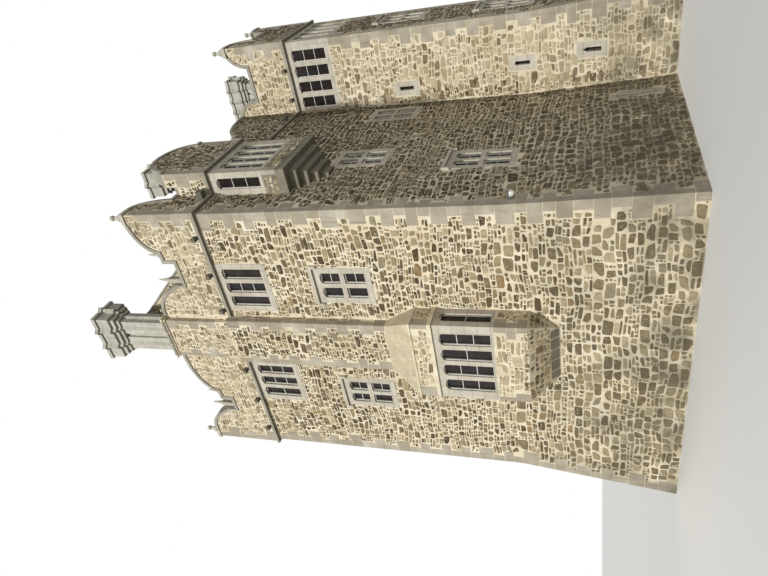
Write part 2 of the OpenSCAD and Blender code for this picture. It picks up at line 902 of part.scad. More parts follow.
// Plan of a row of star shafts: each is a square with a second square set across it
module star_row(count, pitch, grow) {
    half = pitch * 0.39 + grow;
    point = pitch / 2 + grow * 1.2;
    for (i = [0 : count - 1])
        translate([(i - (count - 1) / 2) * pitch, 0]) {
            polygon([[-point, 0], [0, -point], [point, 0], [0, point]]);
            square(2 * half, center = true);
        }
    if (count > 1) square([(count - 1) * pitch, pitch * 0.5], center = true);
}

module flue_cuts(count, pitch) {
    w = min(flue_w, pitch * 0.5);
    for (i = [0 : count - 1])
        translate([(i - (count - 1) / 2) * pitch, 0]) square(w, center = true);
}

module star_layer(count, pitch, grow, z, h) {
    translate([0, 0, z]) linear_extrude(height = h) difference() {
        star_row(count, pitch, grow);
        flue_cuts(count, pitch);
    }
}

module chimney_cap(count, pitch) {
    star_layer(count, pitch, 70, 0, cap_h * 0.14);
    star_layer(count, pitch, 160, cap_h * 0.14, cap_h * 0.17);
    star_layer(count, pitch, 240, cap_h * 0.31, cap_h * 0.54);
    star_layer(count, pitch, 300, cap_h * 0.85, cap_h * 0.15);
}

// A stack is [place of its foot, plinth size, shafts, pitch]; its shafts stand on the plinth.
rear_pitch = walk_w - 60;
front_stack_y = breast_set - breast_out - cornice_out + star_pitch / 2 + 50 - half_d;
front_stack = [[-half_w + breast_s + breast_w / 2, front_stack_y, breast_top], [0, 0, 0], 2,
    star_pitch];
east_stack = [[half_w - 1200, -half_d + 5450, deck_z], [820, 820, 2700], 1, star_pitch];
rear_stack = [[half_w + parapet_out - 2 * rear_pitch, half_d - parapet_in - 20 - stack_depth / 2,
    deck_z], [4 * rear_pitch, stack_depth, 3200], 4, rear_pitch];

module stack_plinth(stack) {
    size = stack[1];
    translate(stack[0]) translate([-size[0] / 2, -size[1] / 2, 0]) cube(size);
}

module stack_shafts(stack) {
    translate(stack[0] + [0, 0, stack[1][2]]) star_layer(stack[2], stack[3], 0, 0, shaft_h);
}

module stack_cap(stack) {
    translate(stack[0] + [0, 0, stack[1][2] + shaft_h]) chimney_cap(stack[2], stack[3]);
}

module east_stack_box() {
    size = east_stack[1];
    place = east_stack[0];
    box([place[0] - size[0] / 2, place[1] - size[1] / 2, deck_z - 1],
        [place[0] + size[0] / 2, place[1] + size[1] / 2, deck_z + reach]);
}

module front_chimney() {
    color(dressed) stack_shafts(front_stack);
}

module east_chimney() {
    color(dressed) {
        stack_plinth(east_stack);
        stack_shafts(east_stack);
    }
}

module rear_chimney() {
    color(dressed) {
        stack_plinth(rear_stack);
        stack_shafts(rear_stack);
    }
}

module chimney_caps() {
    color(dressed) {
        stack_cap(front_stack);
        stack_cap(east_stack);
        stack_cap(rear_stack);
    }
}

// Front oriel, in its face's own frame from its left edge
front_oriel_s = breast_s + breast_w / 2 - front_oriel_w / 2;
front_oriel_base = first_z + 200;
front_oriel_floor = front_oriel_base + 150;
front_oriel_sill = front_oriel_base + 920;
front_oriel_head_z = front_oriel_sill + 1760;
front_oriel_eave = front_oriel_head_z + 700;
front_oriel_top = front_oriel_eave + 940;
front_corbel_drop = 820;
front_corbel_in = 490;
oriel_reveal = 150;
// Depth of the bars between an oriel's lights; its glass lies behind them
oriel_bar_d = 100;
oriel_light_w = 420;
oriel_bar_w = 160;
oriel_light_h = 1500;
oriel_light_sill = 90;
oriel_side_light_w = 360;

module front_oriel_corbel() {
    color(stone) difference() {
        on_face(FRONT, front_oriel_s, 0) intersection() {
            xz_prism([[0, front_oriel_base],
                [front_corbel_in, front_oriel_base - front_corbel_drop],
                [front_oriel_w - front_corbel_in, front_oriel_base - front_corbel_drop],
                [front_oriel_w, front_oriel_base],
                [front_oriel_w, front_oriel_sill], [0, front_oriel_sill]], -reach, 0);
            yz_prism([[-front_oriel_out, front_oriel_base],
                [-batter_at(front_oriel_base - front_corbel_drop), front_oriel_base - front_corbel_drop],
                [0, front_oriel_base - front_corbel_drop],
                [0, front_oriel_sill], [-front_oriel_out, front_oriel_sill]], 0, front_oriel_w);
        }
        on_face(FRONT, front_oriel_s, 0)
            box([oriel_t, oriel_t - front_oriel_out, front_oriel_floor],
                [front_oriel_w - oriel_t, 1, front_oriel_sill + 1]);
        block_mass();
    }
}

// Put a piece that is centred on its own wall on the front or on both sides of an oriel
module oriel_front(w, out, z) {
    translate([w / 2, -out, z]) children();
}

module oriel_sides(w, out, z) {
    for (side = [-1, 1])
        translate([(1 + side) * w / 2, -out / 2, z]) rotate([0, 0, 90 * side]) children();
}

// Cutters for a row of round-headed lights and for the recess of the glass behind them
module oriel_lights(count, light, bar, h, rise) {
    row_w = count * (light + bar) - bar;
    translate([-row_w / 2, 0, 0]) {
        light_cuts(count, 1, light, bar, h, rise, oriel_bar_d + 1);
        box([0, oriel_bar_d, 0], [row_w, oriel_t + 1, h]);
    }
}

module oriel_pane(count, light, bar, h) {
    row_w = count * (light + bar) - bar;
    box([-row_w / 2, oriel_bar_d, 0], [row_w / 2, oriel_bar_d + glass_t, h]);
}

module front_oriel_window() {
    z = front_oriel_sill + oriel_light_sill;
    color(dressed) on_face(FRONT, front_oriel_s, 0) difference() {
        box([0, -front_oriel_out, front_oriel_sill], [front_oriel_w, 0, front_oriel_head_z]);
        box([oriel_t, oriel_t - front_oriel_out, front_oriel_sill - 1],
            [front_oriel_w - oriel_t, 1, front_oriel_head_z + 1]);
        oriel_front(front_oriel_w, front_oriel_out, z)
            oriel_lights(4, oriel_light_w, oriel_bar_w, oriel_light_h, 110);
        oriel_sides(front_oriel_w, front_oriel_out, z)
            oriel_lights(1, oriel_side_light_w, 0, oriel_light_h, 110);
    }
}

module front_oriel_glass() {
    z = front_oriel_sill + oriel_light_sill;
    on_face(FRONT, front_oriel_s, 0) {
        oriel_front(front_oriel_w, front_oriel_out, z)
            oriel_pane(4, oriel_light_w, oriel_bar_w, oriel_light_h);
        oriel_sides(front_oriel_w, front_oriel_out, z)
            oriel_pane(1, oriel_side_light_w, 0, oriel_light_h);
    }
}

module front_oriel_head() {
    z = front_oriel_head_z;
    color(stone) on_face(FRONT, front_oriel_s, 0) {
        box([0, -front_oriel_out, z], [front_oriel_w, 0, front_oriel_eave - 60]);
        box([-60, -front_oriel_out - 60, z], [front_oriel_w + 60, 0, z + 110]);
        box([-30, -front_oriel_out - 30, front_oriel_eave - 60],
            [front_oriel_w + 30, 0, front_oriel_eave]);
    }
}

module front_oriel_roof() {
    inset = (front_oriel_w - breast_w) / 2;
    color(dressed) on_face(FRONT, front_oriel_s, 0) intersection() {
        xz_prism([[0, front_oriel_eave], [front_oriel_w, front_oriel_eave],
            [front_oriel_w - inset, front_oriel_top], [inset, front_oriel_top]], -reach, 0);
        yz_prism([[-front_oriel_out, front_oriel_eave], [0, front_oriel_eave],
            [0, front_oriel_top], [-breast_out, front_oriel_top]], 0, front_oriel_w);
    }
}

// East oriel, in its face's own frame from its left edge
east_oriel_base = third_z - 150;
east_oriel_floor = third_z;
east_oriel_sill = third_z + 660;
east_light_sill = 110;
east_light_h = head_z - 240 - east_oriel_sill - east_light_sill;
east_light_w = 360;
east_bar_w = 130;
east_tier_h = 230;
oriel_gable_t = 450;
// Tops of the gable's returns, of its shoulders and of its curve
return_top = deck_z + 1050;
gable_low = deck_z + 1470;
gable_top = deck_z + 2390;
gable_shoulder = 220;

module east_oriel_corbel() {
    tiers = 4;
    color(dressed) on_face(EAST, east_oriel_s, 0) {
        difference() {
            box([0, -east_oriel_out, east_oriel_base], [east_oriel_w, 0, east_oriel_sill]);
            box([oriel_t, oriel_t - east_oriel_out, east_oriel_floor],
                [east_oriel_w - oriel_t, 1, east_oriel_sill + 1]);
        }
        box([-50, -east_oriel_out - 50, east_oriel_base],
            [east_oriel_w + 50, 0, east_oriel_base + 150]);
        for (i = [1 : tiers]) {
            back = i * east_oriel_out / (tiers + 1);
            side = i * east_oriel_w / 2 / (tiers + 1);
            box([side, back - east_oriel_out, east_oriel_base - i * east_tier_h],
                [east_oriel_w - side, 0, east_oriel_base - (i - 1) * east_tier_h]);
        }
    }
}

module east_oriel_window() {
    z = east_oriel_sill + east_light_sill;
    color(dressed) on_face(EAST, east_oriel_s, 0) difference() {
        box([0, -east_oriel_out, east_oriel_sill], [east_oriel_w, 0, head_z]);
        box([oriel_t, oriel_t - east_oriel_out, east_oriel_sill - 1],
            [east_oriel_w - oriel_t, 1, head_z + 1]);
        oriel_front(east_oriel_w, east_oriel_out, z)
            oriel_lights(4, east_light_w, east_bar_w, east_light_h, 80);
        oriel_sides(east_oriel_w, east_oriel_out, z)
            oriel_lights(1, east_light_w, 0, east_light_h, 80);
    }
}

module east_oriel_glass() {
    z = east_oriel_sill + east_light_sill;
    on_face(EAST, east_oriel_s, 0) {
        oriel_front(east_oriel_w, east_oriel_out, z)
            oriel_pane(4, east_light_w, east_bar_w, east_light_h);
        oriel_sides(east_oriel_w, east_oriel_out, z)
            oriel_pane(1, east_light_w, 0, east_light_h);
    }
}

// Half an ellipse on level shoulders, without its two lowest points
function gable_outline(grow) = concat(
    [[-parapet_out, deck_z], [-parapet_out, gable_low + grow],
        [gable_shoulder - grow, gable_low + grow]],
    [for (i = [1 : 19]) let (a = 180 - i * 9)
        [east_oriel_w / 2 + (east_oriel_w / 2 - gable_shoulder + grow) * cos(a),
            gable_low + (gable_top - gable_low + grow) * sin(a)]],
    [[east_oriel_w - gable_shoulder + grow, gable_low + grow],
        [east_oriel_w + parapet_out, gable_low + grow], [east_oriel_w + parapet_out, deck_z]]
);

// Gable over the east oriel, and the low returns that tie it to the main wall
module east_oriel_gable() {
    front = -east_oriel_out - parapet_out;
    back = front + oriel_gable_t;
    color(stone) on_face(EAST, east_oriel_s, 0) {
        xz_prism(gable_outline(0), front, back);
        for (x = [-parapet_out, east_oriel_w + parapet_out - parapet_t])
            box([x, back, deck_z], [x + parapet_t, -parapet_out, return_top]);
    }
}

module oriel_gable_coping() {
    front = -east_oriel_out - parapet_out;
    back = front + oriel_gable_t;
    difference() {
        xz_prism(gable_outline(coping_t), front - coping_out, back);
        xz_prism(gable_outline(0), -reach, reach);
        box([-reach, -reach, 0], [reach, reach, gable_low]);
    }
    for (x = [-parapet_out, east_oriel_w + parapet_out - parapet_t])
        box([x, back, return_top], [x + parapet_t, -parapet_out, return_top + coping_t]);
}

ground_floor();
first_floor();
second_floor();
third_floor();
attic_floor();
front_wall();
east_wall();
west_wall();
rear_wall();
turret_front_wall();
turret_east_wall();
turret_rear_wall();
turret_floors();
string_course();
front_parapet();
east_parapet();
west_parapet();
rear_parapet();
turret_parapet();
parapet_coping();
finials();
spouts();
roof_slopes();
roof_gables();
chimney_breast();
front_chimney();
east_chimney();
rear_chimney();
chimney_caps();
front_oriel_corbel();
front_oriel_window();
front_oriel_head();
front_oriel_roof();
east_oriel_corbel();
east_oriel_window();
east_oriel_gable();
front_windows();
east_windows();
west_windows();
rear_windows();
turret_windows();
hood_moulds();
lower_glass();
second_glass();
third_glass();
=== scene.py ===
"""Looks of a rubble-built tower-house keep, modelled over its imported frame.

Metres, +Z up, with the front facing -Y. Walling stones, quoins, sashes, slates, gable coping and the
corner lamp are pieces of their own, laid on the faces of the frame, and every finish is procedural.
"""

import logging
import math
import random
from dataclasses import dataclass, field
from enum import Enum
from functools import cached_property
from typing import Callable, Iterator

import bpy
import numpy as np
from mathutils import Matrix, Vector
from mathutils.bvhtree import BVHTree


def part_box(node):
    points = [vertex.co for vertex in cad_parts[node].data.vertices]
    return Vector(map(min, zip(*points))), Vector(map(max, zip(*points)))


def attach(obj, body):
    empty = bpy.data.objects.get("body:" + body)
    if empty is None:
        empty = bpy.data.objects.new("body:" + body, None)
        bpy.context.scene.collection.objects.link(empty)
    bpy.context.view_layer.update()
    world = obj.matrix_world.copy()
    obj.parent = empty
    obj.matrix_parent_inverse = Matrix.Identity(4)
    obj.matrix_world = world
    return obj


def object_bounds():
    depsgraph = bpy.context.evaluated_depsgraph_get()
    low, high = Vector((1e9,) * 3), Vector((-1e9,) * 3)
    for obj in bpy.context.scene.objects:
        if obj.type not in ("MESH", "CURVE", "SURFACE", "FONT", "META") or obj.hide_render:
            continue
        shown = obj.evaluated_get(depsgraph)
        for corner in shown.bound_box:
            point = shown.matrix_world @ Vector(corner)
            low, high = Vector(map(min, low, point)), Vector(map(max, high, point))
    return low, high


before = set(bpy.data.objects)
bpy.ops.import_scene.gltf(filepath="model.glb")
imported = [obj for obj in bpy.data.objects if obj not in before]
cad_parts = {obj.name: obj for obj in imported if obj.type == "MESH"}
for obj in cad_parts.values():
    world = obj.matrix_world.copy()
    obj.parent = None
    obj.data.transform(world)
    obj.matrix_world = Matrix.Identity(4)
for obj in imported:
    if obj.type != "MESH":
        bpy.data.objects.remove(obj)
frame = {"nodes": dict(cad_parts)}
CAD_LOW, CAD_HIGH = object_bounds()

Colour = tuple[int, int, int]
Pair = tuple[float, float]
Triple = tuple[float, float, float]
Material = bpy.types.Material
Object = bpy.types.Object
Socket = bpy.types.NodeSocket

LOG = logging.getLogger("keep")
BODY = "root"
EAST, NORTH, UP = (Vector(axis) for axis in ((1.0, 0.0, 0.0), (0.0, 1.0, 0.0), (0.0, 0.0, 1.0)))
QUARTER = math.pi / 2
UNIT_EASE = 0.1
OUTER = ("front", "east", "rear", "west", "turret_front", "turret_east", "turret_rear")
GREYS = ((0.0, (0, 0, 0)), (1.0, (255, 255, 255)))
# Height, waves along and up the wall, and shift of each part of the sway of the courses.
SWAYS = ((0.5, 1.9, 0.7, 1.7), (0.3, 4.3, -1.3, 2.9), (0.2, 0.9, 5.1, 4.3))
SHIFTS = 6.283
NODE_FINISHES = {
    "mortar": ("_wall", "_parapet", "roof_gables", "chimney_breast", "front_oriel_corbel", "_head",
               "_gable"),
    "window": ("_windows", "_window"),
    "dressed": ("hood_moulds", "finials"),
    # corbel: darker stone, for soot and painted shade.
    "corbel": ("east_oriel_corbel",),
    "string": ("string_course",),
    "spout": ("spouts",),
    "coping": ("parapet_coping",),
    "stack": ("_chimney", "chimney_caps"),
    "oriel_roof": ("front_oriel_roof",),
    "slate": ("roof_slopes",),
    "flags": ("ground_floor", "attic_floor"),
    "boards": ("first_floor", "second_floor", "third_floor", "turret_floors"),
    "glass": ("_glass",),
}


class Slot(Enum):
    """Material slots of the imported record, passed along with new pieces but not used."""

    RUBBLE = "rubble_stone"
    DRESSED = "dressed_stone"
    TIMBER = "floor_timber"
    SLATE = "roof_slate"


def srgb(colour: Colour) -> tuple[float, ...]:
    """Turn a colour as seen on a screen, from 0 to 255, into the shader's linear values."""
    shares = (value / 255.0 for value in colour)
    return tuple(s / 12.92 if s <= 0.04045 else ((s + 0.055) / 1.055) ** 2.4 for s in shares)


def three(name: str) -> tuple[str, str, str]:
    """Name the outer, left and right face of something that stands out from a wall."""
    return name, name + "_left", name + "_right"


class Graph:
    """Shader nodes under construction: each call adds nodes and gives an output socket."""

    def __init__(self, owner: Material | bpy.types.World) -> None:
        """Start on a material or a world.

        Args:
            owner: What the nodes belong to.
        """
        self.owner = owner
        owner.use_nodes = True
        self.tree = owner.node_tree

    @cached_property
    def where(self) -> Socket:
        """Place on the building in metres."""
        return self.place((1.0, 1.0, 1.0))

    def feed(self, socket: Socket, value: object) -> None:
        """Set an input.

        Args:
            socket: The input.
            value: An output socket, a number, a vector, or a colour as seen on a screen.
        """
        if isinstance(value, Socket):
            self.tree.links.new(value, socket)
        elif isinstance(value, tuple) and len(value) == 3 and socket.type == "RGBA":
            socket.default_value = (*srgb(value), 1.0)
        else:
            socket.default_value = value

    def add(self, kind: str, output: str | int, inputs: dict[str | int, object],
            **settings: object) -> Socket:
        """Add a node.

        Args:
            kind: Its type, without the leading ShaderNode.
            output: The output to give.
            inputs: What goes into it.
            **settings: Properties to set on it.

        Returns:
            That output.
        """
        made = self.tree.nodes.new("ShaderNode" + kind)
        for key, value in settings.items():
            setattr(made, key, value)
        for key, value in inputs.items():
            self.feed(made.inputs[key], value)
        return made.outputs[output]

    def place(self, stretch: Triple) -> Socket:
        """Give the place on the building in metres, scaled along each axis."""
        place = self.add("TexCoord", "Object", {})
        return self.add("Mapping", "Vector", {"Vector": place, "Scale": stretch})

    def noise(self, scale: float, detail: float = 3.0, roughness: float = 0.55,
              where: Socket | None = None) -> Socket:
        """Add noise of about 0.5 on the mean, with so many features a metre."""
        return self.add("TexNoise", "Fac", {"Vector": self.where if where is None else where,
                                            "Scale": scale, "Detail": detail, "Roughness": roughness})

    def maths(self, operation: str, first: object, second: object) -> Socket:
        """Work out a sum of two values."""
        return self.add("Math", 0, {0: first, 1: second}, operation=operation)

    def between(self, value: Socket, low: float, high: float, to_low: float = 0.0,
                to_high: float = 1.0) -> Socket:
        """Stretch the range low to high onto another range, and stop at its ends."""
        return self.add("MapRange", "Result", {"Value": value, "From Min": low, "From Max": high,
                                               "To Min": to_low, "To Max": to_high}, clamp=True)

    def ramp(self, value: Socket, stops: tuple[tuple[float, Colour], ...],
             interpolation: str = "CONSTANT") -> Socket:
        """Turn a value into a colour.

        Args:
            value: The value, from 0 to 1.
            stops: Places and colours.
            interpolation: How a colour goes over into the next.

        Returns:
            The colour.
        """
        output = self.add("ValToRGB", "Color", {"Fac": value})
        band = output.node.color_ramp
        band.interpolation = interpolation
        while len(band.elements) < len(stops):
            band.elements.new(0.5)
        for element, (place, colour) in zip(band.elements, stops):
            element.position = place
            element.color = (*srgb(colour), 1.0)
        return output

    def mix(self, share: object, under: object, over: object, blend: str = "MIX") -> Socket:
        """Lay a share of one colour over another."""
        return self.add("Mix", 2, {"Factor": share, 6: under, 7: over}, data_type="RGBA",
                        blend_type=blend)

    def patches(self, under: object, over: object, scale: float, low: float, high: float,
                share: float = 1.0, detail: float = 4.0, roughness: float = 0.6,
                where: Socket | None = None) -> Socket:
        """Lay up to a share of one colour over another where noise goes from low to high."""
        cloud = self.between(self.noise(scale, detail, roughness, where), low, high, 0.0, share)
        return self.mix(cloud, under, over)

    def bump(self, height: Socket, deep: float, strength: float = 1.0,
             onto: Socket | None = None) -> Socket:
        """Bend the normal by a height of so many metres, over an earlier bump if there is one."""
        inputs = {"Distance": deep, "Strength": strength, "Height": height}
        return self.add("Bump", "Normal", inputs if onto is None else inputs | {"Normal": onto})

    def axis(self, vector: Socket, name: str) -> Socket:
        """Split off the X, Y or Z of a vector."""
        return self.add("SeparateXYZ", name, {0: vector})

    def facing(self, low: float, high: float, to_low: float, to_high: float) -> Socket:
        """Turn the upward part of the surface's direction into a share."""
        normal = self.add("NewGeometry", "True Normal", {})
        return self.between(self.axis(normal, "Z"), low, high, to_low, to_high)

    def below(self, base: object, share: float, colour: Colour) -> Socket:
        """Lay painted shade, with some soot, on undersides, as those of ledges."""
        # Painted shade: surfaces that face down are darkened, with some soot.
        return self.mix(self.facing(-0.85, -0.3, share, 0.0), base, colour)

    def island(self) -> Socket:
        """Give each loose stone of a piece its own value from 0 to 1."""
        return self.add("NewGeometry", "Random Per Island", {})

    def ground_stain(self, base: object, colour: Colour) -> Socket:
        """Lay damp patches on the lowest metres of a wall.

        Args:
            base: Colour of the wall.
            colour: Colour of the damp.

        Returns:
            The stained colour.
        """
        low = self.between(self.axis(self.where, "Z"), 0.1, 4.6, 0.8, 0.0)
        damp = self.between(self.noise(0.9, 4.0, 0.6), 0.34, 0.62)
        return self.mix(self.maths("MULTIPLY", low, damp), base, colour)

    def run_stain(self, base: object, colour: Colour) -> Socket:
        """Darken a wall where rain has run down.

        Args:
            base: Colour of the wall.
            colour: Colour of the streaks.

        Returns:
            The streaked colour.
        """
        runs = self.between(self.noise(1.0, 4.0, 0.6, self.place((2.2, 2.2, 0.16))), 0.52, 0.74)
        broken = self.between(self.noise(2.4, 4.0, 0.6), 0.34, 0.62, 0.15, 0.45)
        return self.mix(self.maths("MULTIPLY", runs, broken), base, colour)

    def finish(self, colour: object, rough: float, normal: Socket | None = None,
               shine: float = 0.3) -> Material:
        """Connect the shader.

        Args:
            colour: Base colour.
            rough: Roughness.
            normal: Bent normal.
            shine: Specular level.

        Returns:
            The finished material.
        """
        inputs = self.tree.nodes["Principled BSDF"].inputs
        self.feed(inputs["Base Color"], colour)
        self.feed(inputs["Roughness"], rough)
        self.feed(inputs["Specular IOR Level"], shine)
        if normal is not None:
            self.feed(inputs["Normal"], normal)
        return self.owner


@dataclass(frozen=True)
class Finish:
    """A finish of the building."""

    name: str

    def start(self) -> Graph:
        """Start its material."""
        return Graph(bpy.data.materials.new(self.name))


@dataclass(frozen=True)
class MortarFinish(Finish):
    """Lime mortar between the stones, pale and sandy, stained near the ground."""

    pale: Colour = (231, 220, 195)
    warm: Colour = (210, 196, 165)
    sand: Colour = (170, 154, 122)
    grit: Colour = (138, 126, 102)
    streak: Colour = (128, 118, 96)
    # under: painted shade on the undersides of ledges, with some soot.
    under: Colour = (122, 110, 88)
    damp: Colour = (96, 90, 72)
    grit_size: float = 45.0

    def build(self) -> Material:
        """Make the material.

        Returns:
            The material.
        """
        graph = self.start()
        base = graph.patches(self.pale, self.warm, 1.1, 0.35, 0.7, roughness=0.55)
        base = graph.patches(base, self.sand, 3.2, 0.5, 0.7, 0.55, roughness=0.65)
        cells = graph.add("TexVoronoi", "Distance", {"Vector": graph.where, "Scale": self.grit_size})
        pebbles = graph.between(cells, 0.12, 0.3, 1.0, 0.0)
        sparse = graph.between(graph.noise(9.0, 2.0), 0.5, 0.62)
        base = graph.mix(graph.maths("MULTIPLY", pebbles, sparse), base, self.grit)
        # The undersides take painted shade, with some soot.
        base = graph.below(graph.run_stain(base, self.streak), 0.7, self.under)
        base = graph.ground_stain(base, self.damp)
        grain = graph.bump(graph.noise(110.0), 0.004, 0.6)
        return graph.finish(base, 0.95, graph.bump(graph.noise(16.0), 0.02, 0.7, grain), 0.15)


@dataclass(frozen=True)
class RubbleFinish(Finish):
    """Limestone rubble: every stone has one of the shades, with mortar smeared over some."""

    shades: tuple[tuple[float, Colour], ...]
    smear: Colour = (196, 182, 150)
    vein: Colour = (190, 180, 154)
    low: Colour = (166, 150, 120)
    streak: Colour = (100, 92, 74)
    damp: Colour = (74, 72, 56)

    def build(self) -> Material:
        """Make the material.

        Returns:
            The material.
        """
        graph = self.start()
        cloud = graph.between(graph.noise(7.0, 5.0, 0.6), 0.3, 0.72, 0.72, 1.2)
        base = graph.mix(1.0, graph.ramp(graph.island(), self.shades), graph.ramp(cloud, GREYS, "LINEAR"),
                         "MULTIPLY")
        base = graph.patches(base, self.smear, 8.5, 0.53, 0.66, 0.6, 5.0, 0.74)
        base = graph.patches(base, self.vein, 34.0, 0.55, 0.75, 0.35, roughness=0.7)
        base = graph.mix(graph.between(graph.axis(graph.where, "Z"), 0.5, 5.0, 0.3, 0.0), base, self.low)
        base = graph.ground_stain(graph.run_stain(base, self.streak), self.damp)
        pits = graph.bump(graph.noise(60.0, 4.0, 0.7), 0.008, 0.8)
        return graph.finish(base, 0.9, graph.bump(graph.noise(11.0), 0.03, 0.8, pits), 0.2)


@dataclass(frozen=True)
class DressedFinish(Finish):
    """Dressed limestone, pale and smooth, with lichen on tops, streaks under edges, and painted shade, with
    some soot, on undersides.

    It has level joints every course, or upright ones every run of a coping, if either is given.
    """

    pale: Colour
    deep: Colour
    course: float = 0.0
    run: float = 0.0
    weather: float = 0.5
    spread: float = 0.4
    streak: Colour = (122, 118, 104)
    lichen: Colour = (138, 140, 122)
    # under: painted shade on the undersides of ledges, with some soot.
    under: Colour = (78, 73, 60)
    damp: Colour = (104, 98, 80)
    joint: Colour = (112, 104, 88)
    from_origin: float = 100.0

    def build(self) -> Material:
        """Make the material.

        Returns:
            The material.
        """
        graph = self.start()
        base = graph.patches(self.pale, self.deep, 1.6, 0.32, 0.7)
        base = graph.mix(graph.between(graph.island(), 0.0, 1.0, 0.0, self.spread), base, self.deep)
        base = graph.patches(base, self.streak, 1.0, 0.55, 0.8, self.weather, 3.0,
                             where=graph.place((9.0, 9.0, 0.7)))
        growth = graph.between(graph.noise(5.5, 5.0, 0.7), 0.42, 0.62)
        growth = graph.maths("MULTIPLY", growth, graph.facing(0.25, 0.8, 0.0, 1.0))
        base = graph.mix(graph.maths("MULTIPLY", growth, 0.85), base, self.lichen)
        # The undersides take painted shade, with some soot, before the damp near the ground.
        base = graph.ground_stain(graph.below(base, 0.75, self.under), self.damp)
        normal = graph.bump(graph.noise(75.0, 4.0, 0.65), 0.003, 0.6)
        if self.course or self.run:
            joint = self.joints(graph)
            base = graph.mix(graph.maths("MULTIPLY", joint, 0.6), base, self.joint)
            normal = graph.bump(graph.maths("SUBTRACT", 1.0, joint), 0.006, 1.0, normal)
        return graph.finish(base, 0.82, normal, 0.25)

    def joints(self, graph: Graph) -> Socket:
        """Draw the joints.

        Args:
            graph: The material's graph.

        Returns:
            1 in a joint and 0 elsewhere.
        """
        along = graph.axis(graph.where, "Z")
        if self.run:
            along = graph.maths("ADD", graph.axis(graph.where, "X"), graph.axis(graph.where, "Y"))
            along = graph.maths("ADD", along, self.from_origin)
        return graph.between(graph.maths("MODULO", along, self.run or self.course), 0.004, 0.012, 1.0, 0.0)


@dataclass(frozen=True)
class FlagFinish(Finish):
    """Worn stone flags with dark joints."""

    width: float = 0.72
    depth: float = 0.46
    joint: float = 0.008
    pale: Colour = (152, 146, 130)
    deep: Colour = (124, 118, 104)
    dark: Colour = (70, 68, 58)
    moss: Colour = (96, 98, 76)

    def build(self) -> Material:
        """Make the material.

        Returns:
            The material.
        """
        graph = self.start()
        flags = graph.add("TexBrick", "Color", {
            "Vector": graph.where, "Scale": 1.0, "Brick Width": self.width, "Row Height": self.depth,
            "Mortar Size": self.joint, "Color1": self.pale, "Color2": self.deep, "Mortar": self.dark})
        base = graph.patches(flags, self.moss, 1.3, 0.52, 0.7, 0.6, 5.0, 0.65)
        sunk = graph.bump(graph.maths("SUBTRACT", 1.0, flags.node.outputs["Fac"]), self.joint)
        return graph.finish(base, 0.88, graph.bump(graph.noise(30.0, 4.0), 0.004, 0.6, sunk), 0.2)


@dataclass(frozen=True)
class SlateFinish(Finish):
    """Blue-grey slates, each of its own shade."""

    shades: tuple[tuple[float, Colour], ...] = (
        (0.0, (74, 80, 88)), (0.3, (88, 93, 100)), (0.55, (66, 70, 80)), (0.75, (98, 101, 103)),
        (0.9, (84, 80, 82)))
    bloom: Colour = (134, 138, 122)

    def build(self) -> Material:
        """Make the material.

        Returns:
            The material.
        """
        graph = self.start()
        base = graph.ramp(graph.island(), self.shades)
        base = graph.patches(base, self.bloom, 3.5, 0.52, 0.72, 0.5, 5.0, 0.65)
        return graph.finish(base, 0.62, graph.bump(graph.noise(45.0, 4.0, 0.6), 0.004, 0.6), 0.45)


@dataclass(frozen=True)
class PlainFinish(Finish):
    """A simple finish with a cloudy second colour and a fine grain."""

    colour: Colour
    second: Colour
    rough: float = 0.6
    grain: float = 60.0
    deep: float = 0.002
    shine: float = 0.4

    def build(self) -> Material:
        """Make the material.

        Returns:
            The material.
        """
        graph = self.start()
        base = graph.patches(self.colour, self.second, 4.0, 0.35, 0.68)
        return graph.finish(base, self.rough, graph.bump(graph.noise(self.grain), self.deep, 0.6),
                            self.shine)


@dataclass(frozen=True)
class BoardFinish(Finish):
    """Old floor boards that run along the building."""

    width: float = 0.19
    pale: Colour = (128, 98, 66)
    deep: Colour = (88, 64, 42)
    dark: Colour = (30, 22, 16)
    from_origin: float = 100.0

    def build(self) -> Material:
        """Make the material.

        Returns:
            The material.
        """
        graph = self.start()
        across = graph.maths("ADD", graph.axis(graph.where, "X"), self.from_origin)
        gap = graph.between(graph.maths("MODULO", across, self.width), 0.004, 0.01, 1.0, 0.0)
        base = graph.patches(self.pale, self.deep, 1.0, 0.3, 0.7, where=graph.place((14.0, 0.8, 14.0)))
        normal = graph.bump(graph.maths("SUBTRACT", 1.0, gap), 0.006)
        return graph.finish(graph.mix(gap, base, self.dark), 0.7, normal, 0.3)


